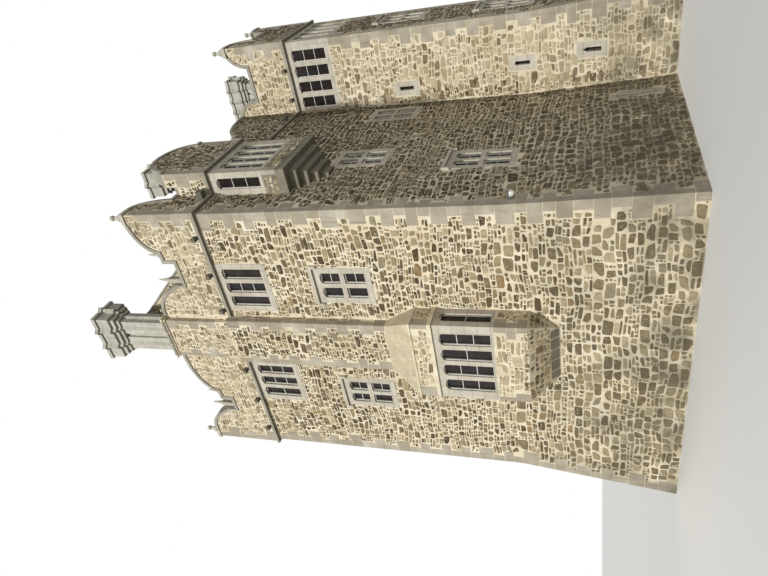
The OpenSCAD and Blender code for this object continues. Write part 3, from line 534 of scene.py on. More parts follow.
class Workshop:
    """Models unit pieces with Blender's own tools."""

    @staticmethod
    def clear() -> None:
        """Leave edit mode and deselect everything."""
        if bpy.context.object and bpy.context.object.mode != "OBJECT":
            bpy.ops.object.mode_set(mode="OBJECT")
        bpy.ops.object.select_all(action="DESELECT")

    @staticmethod
    def edit(made: Object) -> None:
        """Open one object in edit mode, with all of it selected.

        Args:
            made: The object.
        """
        Workshop.clear()
        made.select_set(True)
        bpy.context.view_layer.objects.active = made
        bpy.ops.object.mode_set(mode="EDIT")
        bpy.ops.mesh.select_all(action="SELECT")

    @staticmethod
    def block(low: Triple = (0.0, 0.0, 0.0), high: Triple = (1.0, 1.0, 1.0)) -> Object:
        """Add a block between two corners, open in edit mode.

        Args:
            low: Lowest corner.
            high: Highest corner.

        Returns:
            The new object, with all of it selected.
        """
        Workshop.clear()
        bpy.ops.mesh.primitive_cube_add(size=1.0, location=[(a + b) / 2 for a, b in zip(low, high)],
                                        scale=[b - a for a, b in zip(low, high)])
        bpy.ops.object.transform_apply(location=True, rotation=True, scale=True)
        Workshop.edit(bpy.context.object)
        return bpy.context.object

    @staticmethod
    def bevel(width: float, segments: int = 1) -> None:
        """Bevel the selected edges."""
        bpy.ops.mesh.bevel(offset=width, offset_type="OFFSET", segments=segments, affect="EDGES")

    @staticmethod
    def closed(made: Object) -> None:
        """Turn the faces of a closed shape outwards.

        Args:
            made: The object.
        """
        Workshop.edit(made)
        bpy.ops.mesh.normals_make_consistent(inside=False)
        bpy.ops.object.mode_set(mode="OBJECT")

    @staticmethod
    def pick_edges(made: Object, test: Callable[[Vector, Vector], bool]) -> None:
        """Select only the edges whose two ends pass a test.

        Args:
            made: Object in edit mode.
            test: Takes the two ends.
        """
        bpy.ops.mesh.select_mode(type="EDGE")
        bpy.ops.mesh.select_all(action="DESELECT")
        bpy.ops.object.mode_set(mode="OBJECT")
        for edge in made.data.edges:
            edge.select = test(*(made.data.vertices[i].co for i in edge.vertices))
        bpy.ops.object.mode_set(mode="EDIT")


@dataclass
class Pattern:
    """A modelled unit piece as arrays, ready to be laid many times."""

    points: np.ndarray
    faces: list[tuple[int, ...]]

    @staticmethod
    def taken_from(made: Object) -> "Pattern":
        """Read a modelled object and remove it.

        Args:
            made: The object.

        Returns:
            Its points and faces.
        """
        Workshop.clear()
        mesh = made.data
        points = np.array([v.co[:] for v in mesh.vertices], float)
        faces = [tuple(f.vertices) for f in mesh.polygons]
        bpy.data.objects.remove(made)
        bpy.data.meshes.remove(mesh)
        return Pattern(points, faces)

    @staticmethod
    def rough_stone(cut: float, lip: float) -> "Pattern":
        """Model a walling stone: corners knocked off, and an eased edge round its face.

        Args:
            cut: Length knocked off each corner.
            lip: Width of the eased edge.

        Returns:
            A unit stone, 1 by 1 across the wall and 1 out of it.
        """
        made = Workshop.block()
        Workshop.pick_edges(made, lambda a, b: abs(a.z - b.z) > 0.5)
        Workshop.bevel(cut)
        Workshop.pick_edges(made, lambda a, b: min(a.z, b.z) > 0.99)
        bpy.ops.transform.resize(value=(1.0 - 2.0 * lip, 1.0 - 2.0 * lip, 1.0),
                                 center_override=(0.5, 0.5, 1.0))
        return Pattern.taken_from(made)

    @staticmethod
    def dressed_block() -> "Pattern":
        """Model a squared unit block with eased edges.

        Returns:
            The block.
        """
        made = Workshop.block()
        Workshop.bevel(UNIT_EASE)
        return Pattern.taken_from(made)

    def sized(self, ease: float, size: Triple) -> np.ndarray:
        """Stretch a squared unit block to a size.

        Args:
            ease: Width of its eased edge, whatever the size.
            size: The size.

        Returns:
            The stretched points.
        """
        made = np.empty_like(self.points)
        for axis in range(3):
            u = self.points[:, axis]
            made[:, axis] = np.where(u < 0.5, u / UNIT_EASE * ease,
                                     size[axis] - (1.0 - u) / UNIT_EASE * ease)
        return made


@dataclass
class Heap:
    """Many laid copies of unit pieces that become one mesh, just inside the frame's box."""

    name: str
    inset: float = 0.001
    points: list[np.ndarray] = field(default_factory=list)
    faces: list[tuple[int, ...]] = field(default_factory=list)
    count: int = 0

    def lay(self, pattern: Pattern, points: np.ndarray) -> None:
        """Add one copy.

        Args:
            pattern: The unit piece.
            points: Its points in their final places.
        """
        self.points.append(points)
        self.faces.extend(tuple(i + self.count for i in face) for face in pattern.faces)
        self.count += len(points)

    def place(self, pattern: Pattern, points: np.ndarray, start: Vector,
              axes: tuple[Vector, Vector, Vector]) -> None:
        """Add one copy at a place, along three axes."""
        self.lay(pattern, np.array(start) + points @ np.array(axes))

    def piece(self, slot: Slot, material: Material) -> Object:
        """Make the mesh and let it ride on the building.

        Args:
            slot: Material slot of the record.
            material: Finish.

        Returns:
            The finished piece.
        """
        points = np.clip(np.concatenate(self.points), np.array(CAD_LOW) + self.inset,
                         np.array(CAD_HIGH) - self.inset)
        mesh = bpy.data.meshes.new(self.name)
        mesh.from_pydata(points.tolist(), [], self.faces)
        mesh.validate()
        made = bpy.data.objects.new(self.name, mesh)
        bpy.context.scene.collection.objects.link(made)
        LOG.info("%s: %d laid, %d faces", self.name, len(self.points), len(self.faces))
        return ridden(made, slot, material)


def ridden(made: Object, slot: Slot, material: Material) -> Object:
    """Give a new piece its finish and let it ride on the building.

    Args:
        made: The piece.
        slot: Material slot of the record; not used.
        material: Finish.

    Returns:
        The same piece.
    """
    made.data.materials.append(material)
    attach(made, BODY)
    return made


@dataclass(frozen=True)
class WallFace:
    """A face of the building: s runs along it from its left end as seen from outside."""

    start: Pair
    angle: float
    width: float

    @property
    def along(self) -> Vector:
        """Direction of s."""
        return Vector((math.cos(self.angle), math.sin(self.angle), 0.0))

    @property
    def inward(self) -> Vector:
        """Direction into the wall."""
        return Vector((-math.sin(self.angle), math.cos(self.angle), 0.0))

    def at(self, s: float, z: float, depth: float = 0.0) -> Vector:
        """Give the point at s, at a height and so far behind the face."""
        return Vector((*self.start, z)) + self.along * s + self.inward * depth


@dataclass(frozen=True)
class Hit:
    """Where a line from outside first meets the building."""

    point: Vector
    normal: Vector
    node: str


class Survey:
    """Measures the building by straight lines from outside."""

    def __init__(self, objects: dict[str, Object]) -> None:
        """Gather the meshes into one search tree.

        Args:
            objects: Objects by name.
        """
        points: list[Vector] = []
        faces: list[tuple[int, ...]] = []
        self.owner: list[str] = []
        for name, made in objects.items():
            base = len(points)
            points.extend(v.co.copy() for v in made.data.vertices)
            faces.extend(tuple(i + base for i in face.vertices) for face in made.data.polygons)
            self.owner.extend([name] * len(made.data.polygons))
        self.tree = BVHTree.FromPolygons(points, faces)

    def look(self, start: Vector, direction: Vector, reach: float = 60.0) -> Hit | None:
        """Follow one line.

        Args:
            start: Where it starts.
            direction: Where it goes.
            reach: How far it goes.

        Returns:
            What it meets first, if anything.
        """
        point, normal, index, _ = self.tree.ray_cast(start, direction, reach)
        if point is None:
            return None
        return Hit(point, normal if normal.dot(direction) < 0 else -normal, self.owner[index])

    def onto(self, face: WallFace, s: float, z: float, off: float,
             nodes: set[str] | None = None) -> Hit | None:
        """Look squarely at a face from so far in front, and give what is met if it is wanted."""
        hit = self.look(face.at(s, z, -off), face.inward)
        return hit if hit is None or nodes is None or hit.node in nodes else None


def wave(seed: int, s: float, z: float) -> float:
    """Give a smooth sway from about -1 to 1 over a face."""
    return sum(height * math.sin(a * s + b * z + seed * k % SHIFTS) for height, a, b, k in SWAYS)


@dataclass(frozen=True)
class RubbleStyle:
    """Height of the courses below one height, and how long a stretch of one is for its height."""

    below: float
    course: Pair
    aspect: Pair


@dataclass(frozen=True)
class Quad:
    """A cell of a face from (s0, z0) to (s1, z1)."""

    s0: float
    z0: float
    s1: float
    z1: float

    def halves(self) -> tuple["Quad", "Quad"]:
        """Cut the cell across its longer side.

        Returns:
            Its halves.
        """
        if self.s1 - self.s0 > self.z1 - self.z0:
            s = (self.s0 + self.s1) / 2
            return Quad(self.s0, self.z0, s, self.z1), Quad(s, self.z0, self.s1, self.z1)
        z = (self.z0 + self.z1) / 2
        return Quad(self.s0, self.z0, self.s1, z), Quad(self.s0, z, self.s1, self.z1)


@dataclass
class Patch:
    """A face to be covered: where its pieces go, what they may cover, and their random draws."""

    heap: Heap
    face: WallFace
    nodes: set[str]
    off: float
    seed: int
    rng: random.Random = field(init=False)

    def __post_init__(self) -> None:
        """Start the draws."""
        self.rng = random.Random(self.seed)


@dataclass
class Rubble:
    """Walling stones of every size, laid roughly in courses over the faces of the building."""

    survey: Survey
    styles: tuple[RubbleStyle, ...] = (
        RubbleStyle(4.8, (0.16, 0.29), (0.9, 2.1)),
        RubbleStyle(14.0, (0.135, 0.24), (0.9, 2.3)),
        RubbleStyle(99.0, (0.12, 0.20), (1.1, 2.5)),
    )
    joint: Pair = (0.001, 0.007)
    proud: Pair = (0.010, 0.022)
    cut: float = 0.26
    lip: float = 0.07
    least: float = 0.045
    sunk: float = 0.012
    flatness: float = 0.012
    margin: float = 1.05
    lean: float = 0.004
    draft: float = 0.014
    most_draft: float = 0.35
    least_reach: float = 0.02
    sway: Pair = (0.05, 0.06)
    overlap: float = 0.36
    stagger: float = 0.3
    skew: Pair = (0.22, 0.24)
    square: float = -0.12
    split: Pair = (0.36, 0.64)
    chips: Pair = (0.04, 0.19)
    wedges: float = 0.42
    wedge_cuts: tuple[Pair, Pair] = ((0.3, 0.55), (0.3, 0.6))
    pins: Pair = (0.10, 0.3)
    block_joint: float = 0.006
    block_cuts: Pair = (0.03, 0.25)
    block_proud: Pair = (0.006, 0.009)
    block_step: float = 0.04
    block_least: float = 0.1
    block_tries: int = 12
    pattern: Pattern = field(init=False)
    ring: list[int] = field(init=False)

    def __post_init__(self) -> None:
        """Model the unit stone and number its points round the outline."""
        self.pattern = Pattern.rough_stone(self.cut, self.lip)
        turns = [math.atan2(v - 0.5, u - 0.5) % math.tau for u, v, _ in self.pattern.points]
        steps = sorted({round(t, 1) for t in turns})
        half = len(steps) // 2
        self.ring = [(min(range(len(steps)), key=lambda i: abs(steps[i] - t)) + half) % len(steps)
                     for t in turns]

    def cover(self, patch: Patch, low: float, high: float) -> None:
        """Lay stones over one face.

        Args:
            patch: The face.
            low: Height of the first course.
            high: Height where the stones end.
        """
        rng = patch.rng
        z = low
        while z < high:
            style = next(style for style in self.styles if z < style.below)
            rise = rng.uniform(*style.course)
            if z < style.below < z + rise * 1.3:
                rise = style.below - z
            s = -self.overlap - rng.uniform(0.0, self.stagger)
            while s < patch.face.width + self.overlap:
                length = rise * rng.uniform(*style.aspect)
                for cell in self.cells(rng, Quad(s, z, s + length, z + rise)):
                    self.try_cell(patch, cell, 2)
                s += length
            z += rise

    def cells(self, rng: random.Random, unit: Quad) -> Iterator[Quad]:
        """Split a stretch of a course into the cells of its stones.

        Args:
            rng: Source of the draws.
            unit: The stretch.

        Yields:
            Its cells.
        """
        draw = rng.random()
        s0, z0, s1, z1 = unit.s0, unit.z0, unit.s1, unit.z1
        split = z0 + (z1 - z0) * rng.uniform(*self.split)
        cross = s0 + (s1 - s0) * rng.uniform(*self.split)
        if draw < 0.46:
            yield unit
        elif draw < 0.60:
            yield from (Quad(s0, z0, s1, split), Quad(s0, split, s1, z1))
        elif draw < 0.74:
            yield from (Quad(s0, z0, s1, split), Quad(s0, split, cross, z1),
                        Quad(cross, split, s1, z1))
        elif draw < 0.85:
            yield from (Quad(s0, z0, cross, split), Quad(cross, z0, s1, split),
                        Quad(s0, split, s1, z1))
        else:
            widest, share = self.pins
            pin = s0 + min(widest, (s1 - s0) * share)
            yield Quad(pin, z0, s1, z1)
            parts = rng.choice((2, 3))
            for i in range(parts):
                yield Quad(s0, z0 + (z1 - z0) * i / parts, pin, z0 + (z1 - z0) * (i + 1) / parts)

    def try_cell(self, patch: Patch, cell: Quad, tries: int) -> None:
        """Lay one stone, or smaller ones where it doesn't fit.

        Args:
            patch: The face.
            cell: Its cell.
            tries: How many more times the cell may be halved.
        """
        points = self.outline(patch, cell)
        if points is None:
            return
        shape = self.shape(patch, points, self.proud)
        if shape is not None:
            patch.heap.lay(self.pattern, shape)
        elif tries:
            for half in cell.halves():
                self.try_cell(patch, half, tries - 1)

    def outline(self, patch: Patch, cell: Quad) -> list[Pair] | None:
        """Draw the outline of a stone in its cell.

        Args:
            patch: The face.
            cell: The cell.

        Returns:
            Eight places on the face, or None if the stone would be too small.
        """
        rng = patch.rng
        j = [rng.uniform(*self.joint) for _ in range(4)]
        s0, s1, z0, z1 = cell.s0 + j[0], cell.s1 - j[1], cell.z0 + j[2], cell.z1 - j[3]
        if min(s1 - s0, z1 - z0) < self.least:
            return None
        corners = []
        for right, top in ((0, 0), (1, 0), (1, 1), (0, 1)):
            in_s, in_z = (max(0.0, rng.uniform(self.square, reach)) for reach in self.skew)
            s = s0 + (s1 - s0) * (right + (1 - 2 * right) * in_s)
            z = z0 + (z1 - z0) * (top + (1 - 2 * top) * in_z)
            corners.append((s + self.sway[0] * wave(patch.seed + 3, s, z),
                            z + self.sway[1] * wave(patch.seed, s, z)))
        cuts = [rng.uniform(*self.chips) for _ in range(8)]
        if rng.random() < self.wedges:
            broken = 2 * rng.randrange(4)
            cuts[broken:broken + 2] = [rng.uniform(*cut) for cut in self.wedge_cuts]
        points = []
        for i, (s, z) in enumerate(corners):
            for (s1, z1), share in ((corners[i - 1], cuts[2 * i]),
                                    (corners[(i + 1) % 4], cuts[2 * i + 1])):
                points.append((s + (s1 - s) * share, z + (z1 - z) * share))
        return points

    def blocks(self, patch: Patch, low: float, high: float, length: float) -> None:
        """Lay one course of squared blocks, shorter at the ends where they don't fit.

        Args:
            patch: The face.
            low: Foot of the course.
            high: Its top.
            length: Length of a block.
        """
        joint = self.block_joint
        cut = min(self.block_cuts[0], self.block_cuts[1] * (high - low))
        count = max(1, round(patch.face.width / length))
        step = patch.face.width / count
        z0, z1 = low + joint, high - joint
        for i in range(count):
            s0, s1 = i * step + joint, (i + 1) * step - joint
            for _ in range(self.block_tries):
                points = [(s0, z0 + cut), (s0 + cut, z0), (s1 - cut, z0), (s1, z0 + cut),
                          (s1, z1 - cut), (s1 - cut, z1), (s0 + cut, z1), (s0, z1 - cut)]
                made = self.shape(patch, points, self.block_proud)
                if made is not None:
                    patch.heap.lay(self.pattern, made)
                    break
                s0, s1 = (s0 + self.block_step, s1) if i < count / 2 else (s0, s1 - self.block_step)
                if s1 - s0 < self.block_least:
                    break

    def shape(self, patch: Patch, outline: list[Pair], proud: Pair) -> np.ndarray | None:
        """Place a stone on the surface.

        Args:
            patch: The face.
            outline: Its outline on the face.
            proud: Least and most that it stands out.

        Returns:
            The points of the stone, or None if something is in its way.
        """
        s, z = (sum(place) / 8 for place in zip(*outline))
        middle = self.survey.onto(patch.face, s, z, patch.off, patch.nodes)
        if middle is None:
            return None
        edge = []
        for a, b in outline:
            hit = self.survey.onto(patch.face, s + (a - s) * self.margin, z + (b - z) * self.margin,
                                   patch.off, patch.nodes)
            if hit is None:
                return None
            step = (hit.point - middle.point).dot(middle.normal)
            if abs(step) > self.flatness:
                return None
            flat = hit.point - middle.normal * step
            edge.append(middle.point + (flat - middle.point) / self.margin)
        out = patch.rng.uniform(*proud)
        lean = [patch.rng.uniform(-self.lean, self.lean) for _ in range(2)]
        reach = min((p - middle.point).length for p in edge)
        shrink = 1.0 - min(self.most_draft, self.draft / max(reach, self.least_reach))
        made = np.empty((len(self.pattern.points), 3))
        for k, ((u, v, w), turn) in enumerate(zip(self.pattern.points, self.ring)):
            if w < 0.5:
                made[k] = edge[turn] + middle.normal * -self.sunk
            else:
                made[k] = (middle.point + (edge[turn] - middle.point) * shrink
                           + middle.normal * (out + (lean[0] * (u - 0.5) * 2 + lean[1] * (v - 0.5) * 2)))
        return made


@dataclass(frozen=True)
class Corner:
    """A corner of the building, between the right end of one face and the left end of another."""

    left: WallFace
    right: WallFace
    low: float
    high: float
    nodes: set[str]
    seed: int
    arms: Pair = (0.54, 0.27)


@dataclass
class Quoins:
    """Long and short corner blocks that follow the lean of the walls."""

    survey: Survey
    heap: Heap
    rise: Pair = (0.30, 0.52)
    least_rise: float = 0.2
    vary: Pair = (0.78, 1.14)
    joint: float = 0.009
    proud: float = 0.006
    ease: float = 0.010
    end_gap: float = 0.01
    look_in: float = 0.2
    off: float = 1.2
    pattern: Pattern = field(default_factory=Pattern.dressed_block)

    def offset(self, face: WallFace, s: float, z: float, nodes: set[str]) -> float | None:
        """Measure how far a face stands out from its nominal plane, if one of the nodes is met."""
        hit = self.survey.onto(face, s, z, self.off, nodes)
        return None if hit is None else -(hit.point - face.at(s, z)).dot(face.inward)

    def lay(self, corner: Corner) -> None:
        """Lay one corner from bottom to top.

        Args:
            corner: The corner.
        """
        rng = random.Random(corner.seed)
        rises = []
        while sum(rises) < corner.high - corner.low - self.least_rise:
            rises.append(rng.uniform(*self.rise))
        scale = (corner.high - corner.low) / sum(rises)
        z = corner.low
        for i, rise in enumerate(h * scale for h in rises):
            arms = [arm * rng.uniform(*self.vary) for arm in corner.arms[::1 if i % 2 else -1]]
            self.block(corner, z + self.joint / 2, z + rise - self.joint / 2, *arms)
            z += rise

    def block(self, corner: Corner, z0: float, z1: float, a: float, b: float) -> None:
        """Lay one corner block, if both faces are clear there.

        Args:
            corner: The corner.
            z0: Its foot.
            z1: Its top.
            a: Its length on the left face.
            b: Its length on the right face.
        """
        left, right = corner.left, corner.right
        a, b = min(a, left.width - self.end_gap), min(b, right.width - self.end_gap)
        in_left, in_right = min(self.look_in, left.width / 2), min(self.look_in, right.width / 2)
        outs = []
        for z in (z0, z1):
            out = (self.offset(left, left.width - in_left, z, corner.nodes),
                   self.offset(right, in_right, z, corner.nodes))
            if None in out:
                return
            outs.append((out[0] + self.proud, out[1] + self.proud))
        start = left.at(left.width, 0.0)
        points = self.pattern.sized(self.ease, (a, b, z1 - z0))
        made = np.empty_like(points)
        for k, (u, v, w) in enumerate(points):
            out_left, out_right = (low + (high - low) * (w / (z1 - z0)) for low, high in zip(*outs))
            made[k] = start - left.along * (u - out_right) + right.along * (v - out_left) + UP * (z0 + w)
        self.heap.lay(self.pattern, made)


@dataclass(frozen=True)
class Light:
    """One glazed light, as measured through its opening."""

    face: WallFace
    cell: Quad
    depth: float


@dataclass
class Glazing:
    """Finds the glazed lights and fills them with painted timber sashes."""

    survey: Survey
    heap: Heap
    panes: set[str]
    off: float = 0.4
    step_s: float = 0.08
    step_z: float = 0.12
    step_edge: float = 0.02
    widest: float = 3.0
    lap: float = 0.004
    stile: float = 0.021
    bar: float = 0.020
    deep: float = 0.045
    bar_deep: float = 0.7
    top_rail: float = 0.035
    ease: float = 0.004
    narrowest: float = 0.25
    tall: float = 0.9
    pattern: Pattern = field(default_factory=Pattern.dressed_block)

    def glass(self, face: WallFace, s: float, z: float) -> Hit | None:
        """Look for glass at one place."""
        return self.survey.onto(face, s, z, self.off, self.panes)

    def fill(self, face: WallFace, low: float, high: float, bars: tuple[int, ...]) -> int:
        """Find the lights of one face and fill them.

        Args:
            face: The face.
            low: Lowest height to look at.
            high: Highest height to look at.
            bars: Number of glazing bars of each light, row by row, where it isn't the usual one.

        Returns:
            The number of lights.
        """
        found: list[Light] = []
        for i in range(int((high - low) / self.step_z)):
            z = low + (i + 0.5) * self.step_z
            for j in range(int(face.width / self.step_s)):
                s = (j + 0.5) * self.step_s
                if any(f.cell.s0 < s < f.cell.s1 and f.cell.z0 < z < f.cell.z1 for f in found):
                    continue
                hit = self.glass(face, s, z)
                if hit is not None:
                    found.append(self.measure(face, s, z, hit))
        lights = [light for light in found if light.cell.s1 - light.cell.s0 > self.narrowest]
        lights.sort(key=lambda light: (round(light.cell.z0, 1), light.cell.s0))
        for i, light in enumerate(lights):
            usual = 2 if light.cell.z1 - light.cell.z0 > self.tall else 1
            self.sash(light, bars[i] if i < len(bars) else usual)
        return len(lights)

    def reach(self, face: WallFace, s: float, z: float, ds: float, dz: float) -> float:
        """Measure how far the glass goes on in one direction.

        Args:
            face: The face.
            s: Place along it.
            z: Height.
            ds: Direction along the face.
            dz: Direction upwards.

        Returns:
            The distance.
        """
        low, step = 0.0, self.step_edge
        while low < self.widest and self.glass(face, s + ds * (low + step), z + dz * (low + step)):
            low += step
        high = low + step
        for _ in range(4):
            middle = (low + high) / 2
            if self.glass(face, s + ds * middle, z + dz * middle):
                low = middle
            else:
                high = middle
        return low

    def measure(self, face: WallFace, s: float, z: float, hit: Hit) -> Light:
        """Measure a light outwards from a place in it.

        Args:
            face: The face.
            s: Place along it.
            z: Height.
            hit: Where the glass was met.

        Returns:
            The light.
        """
        z0 = z - self.reach(face, s, z, 0.0, -1.0)
        s0 = s - self.reach(face, s, z0 + 0.1, -1.0, 0.0)
        s1 = s + self.reach(face, s, z0 + 0.1, 1.0, 0.0)
        z1 = z + self.reach(face, (s0 + s1) / 2, z, 0.0, 1.0)
        return Light(face, Quad(s0, z0, s1, z1), (hit.point - face.at(s, z)).dot(face.inward))

    def rail(self, light: Light, cell: Quad, deep: float) -> None:
        """Lay one timber of a sash.

        Args:
            light: The light.
            cell: Its ends, foot and top.
            deep: How far it stands in front of the glass.
        """
        face = light.face
        points = self.pattern.sized(self.ease, (cell.s1 - cell.s0, deep, cell.z1 - cell.z0))
        self.heap.place(self.pattern, points, face.at(cell.s0, cell.z0, light.depth - deep),
                        (face.along, face.inward, UP))

    def sash(self, light: Light, bars: int) -> None:
        """Make the sash of one light.

        Args:
            light: The light.
            bars: Number of glazing bars.
        """
        cell, lap, stile, half = light.cell, self.lap, self.stile, self.bar / 2
        s0, s1, z0, z1 = cell.s0 - lap, cell.s1 + lap, cell.z0 - lap, cell.z1 + lap
        inner0, inner1 = s0 + stile, s1 - stile
        for rail in (Quad(s0, z0, inner0, z1), Quad(inner1, z0, s1, z1),
                     Quad(inner0, z0, inner1, z0 + stile), Quad(inner0, z1 - self.top_rail, inner1, z1)):
            self.rail(light, rail, self.deep)
        clear = z1 - self.top_rail - z0 - stile
        for i in range(bars):
            z = z0 + stile + clear * (i + 1) / (bars + 1)
            self.rail(light, Quad(inner0, z - half, inner1, z + half), self.deep * self.bar_deep)


@dataclass
class SlateRoof:
    """Slates in courses on the two slopes, with ridge tiles over them."""

    gauge: float = 0.21
    width: float = 0.27
    length: float = 0.46
    thick: float = 0.009
    lift: Pair = (0.02, 0.024)
    shift: float = 0.006
    over: float = 0.02
    joint: float = 0.003
    least: float = 0.05
    bed: float = 0.002
    corner: float = 0.05
    seed: int = 41
    ridge_length: float = 0.46
    ridge_joint: float = 0.004
    ridge_radius: float = 0.13
    ridge_foot: float = -0.04
    ridge_lift: float = 0.012

    def build(self, finish: Material) -> None:
        """Lay both slopes and the ridge.

        Args:
            finish: Their finish.
        """
        low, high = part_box("roof_slopes")
        rng = random.Random(self.seed)
        heap = Heap("roof_slates")
        unit = self.unit_slate()
        half, rise = high.x, high.z - low.z
        slope = math.hypot(half, rise)
        for side in (-1.0, 1.0):
            drop = Vector((half / slope * side, 0.0, -rise / slope))
            out = Vector((rise / slope * side, 0.0, half / slope))
            for i in range(int(slope / self.gauge)):
                y = low.y - (self.width / 2 if i % 2 else 0.0)
                while y < high.y - 0.01:
                    y0, y1 = max(y, low.y), min(y + self.width, high.y)
                    if y1 - y0 > self.least:
                        far = slope - i * self.gauge + self.over
                        length = min(self.length, far - 0.01)
                        far += rng.uniform(-self.shift, self.shift)
                        start = Vector((0.0, y0 + self.joint, high.z)) + drop * (far - length)
                        axes = (drop * length + out * rng.uniform(*self.lift),
                                NORTH * (y1 - y0 - 2 * self.joint), out * self.thick)
                        heap.place(unit, unit.points, start + out * self.bed, axes)
                    y += self.width
        heap.piece(Slot.SLATE, finish)
        self.ridge(low, high, finish)

    def ridge(self, low: Vector, high: Vector, finish: Material) -> None:
        """Lay the ridge tiles.

        Args:
            low: Lowest corner of the slopes.
            high: Highest corner of the slopes.
            finish: Their finish.
        """
        heap = Heap("ridge_tiles")
        unit = self.ridge_tile()
        count = round((high.y - low.y) / self.ridge_length)
        step = (high.y - low.y) / count
        for i in range(count):
            start = Vector((0.0, low.y + i * step + self.ridge_joint, high.z + self.ridge_lift))
            heap.place(unit, unit.points, start, (EAST, NORTH * (step - 2 * self.ridge_joint), UP))
        heap.piece(Slot.SLATE, finish)

    def unit_slate(self) -> Pattern:
        """Model a slate with its two lower corners dressed off.

        Returns:
            A unit slate.
        """
        made = Workshop.block()
        Workshop.pick_edges(made, lambda a, b: abs(a.z - b.z) > 0.5 and a.x > 0.5 and b.x > 0.5)
        Workshop.bevel(self.corner)
        return Pattern.taken_from(made)

    def ridge_tile(self) -> Pattern:
        """Model a half-round ridge tile.

        Returns:
            A tile, 1 long.
        """
        Workshop.clear()
        bpy.ops.mesh.primitive_cylinder_add(vertices=16, radius=self.ridge_radius, depth=1.0,
                                            location=(0.0, 0.5, 0.0), rotation=(QUARTER, 0.0, 0.0))
        made = bpy.context.object
        bpy.ops.object.transform_apply(location=True, rotation=True, scale=True)
        Workshop.edit(made)
        bpy.ops.mesh.bisect(plane_co=(0.0, 0.0, self.ridge_foot), plane_no=(0.0, 0.0, 1.0),
                            clear_inner=True, use_fill=True)
        return Pattern.taken_from(made)


@dataclass
class VergeCoping:
    """Flat stones along the sloping tops of the roof gables, with a saddle stone at each ridge."""

    survey: Survey
    length: float = 0.58
    thick: float = 0.075
    over: float = 0.04
    joint: float = 0.008
    ease: float = 0.012
    bed: float = 0.004
    end: float = 0.02
    probes: Pair = (0.1, 0.4)
    saddle: Pair = (0.09, 0.05)
    saddle_rise: float = 1.9
    saddle_ease: float = 0.015

    def build(self, finish: Material) -> None:
        """Lay the coping of both gables.

        Args:
            finish: Its finish.
        """
        low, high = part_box("roof_gables")
        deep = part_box("roof_slopes")[0].y - low.y
        wide = deep + 2 * self.over
        pattern = Pattern.dressed_block()
        heap = Heap("verge_coping")
        for y0 in (low.y, high.y - deep):
            for side in (-1.0, 1.0):
                near, far = (self.survey.look(Vector((side * x, y0 + deep / 2, high.z + 1.0)), -UP).point
                             for x in (self.probes[0], high.x - self.probes[1]))
                run = (far - near).normalized()
                out = Vector((-side * run.z, 0.0, abs(run.x)))
                apex = near - run * (near.x / run.x)
                first = self.thick * abs(run.z / run.x)
                whole = (high.x - self.end) / abs(run.x) - first
                count = round(whole / self.length)
                points = pattern.sized(self.ease, (whole / count - self.joint, wide, self.thick))
                for i in range(count):
                    start = apex + run * (first + i * whole / count) - out * self.bed
                    heap.place(pattern, points, start - NORTH * (wide / 2), (run, NORTH, out))
            half, foot = self.saddle
            points = pattern.sized(self.saddle_ease, (2 * half, wide, foot + self.thick * self.saddle_rise))
            heap.place(pattern, points, Vector((-half, y0 - self.over, apex.z - foot)), (EAST, NORTH, UP))
        heap.piece(Slot.DRESSED, finish)


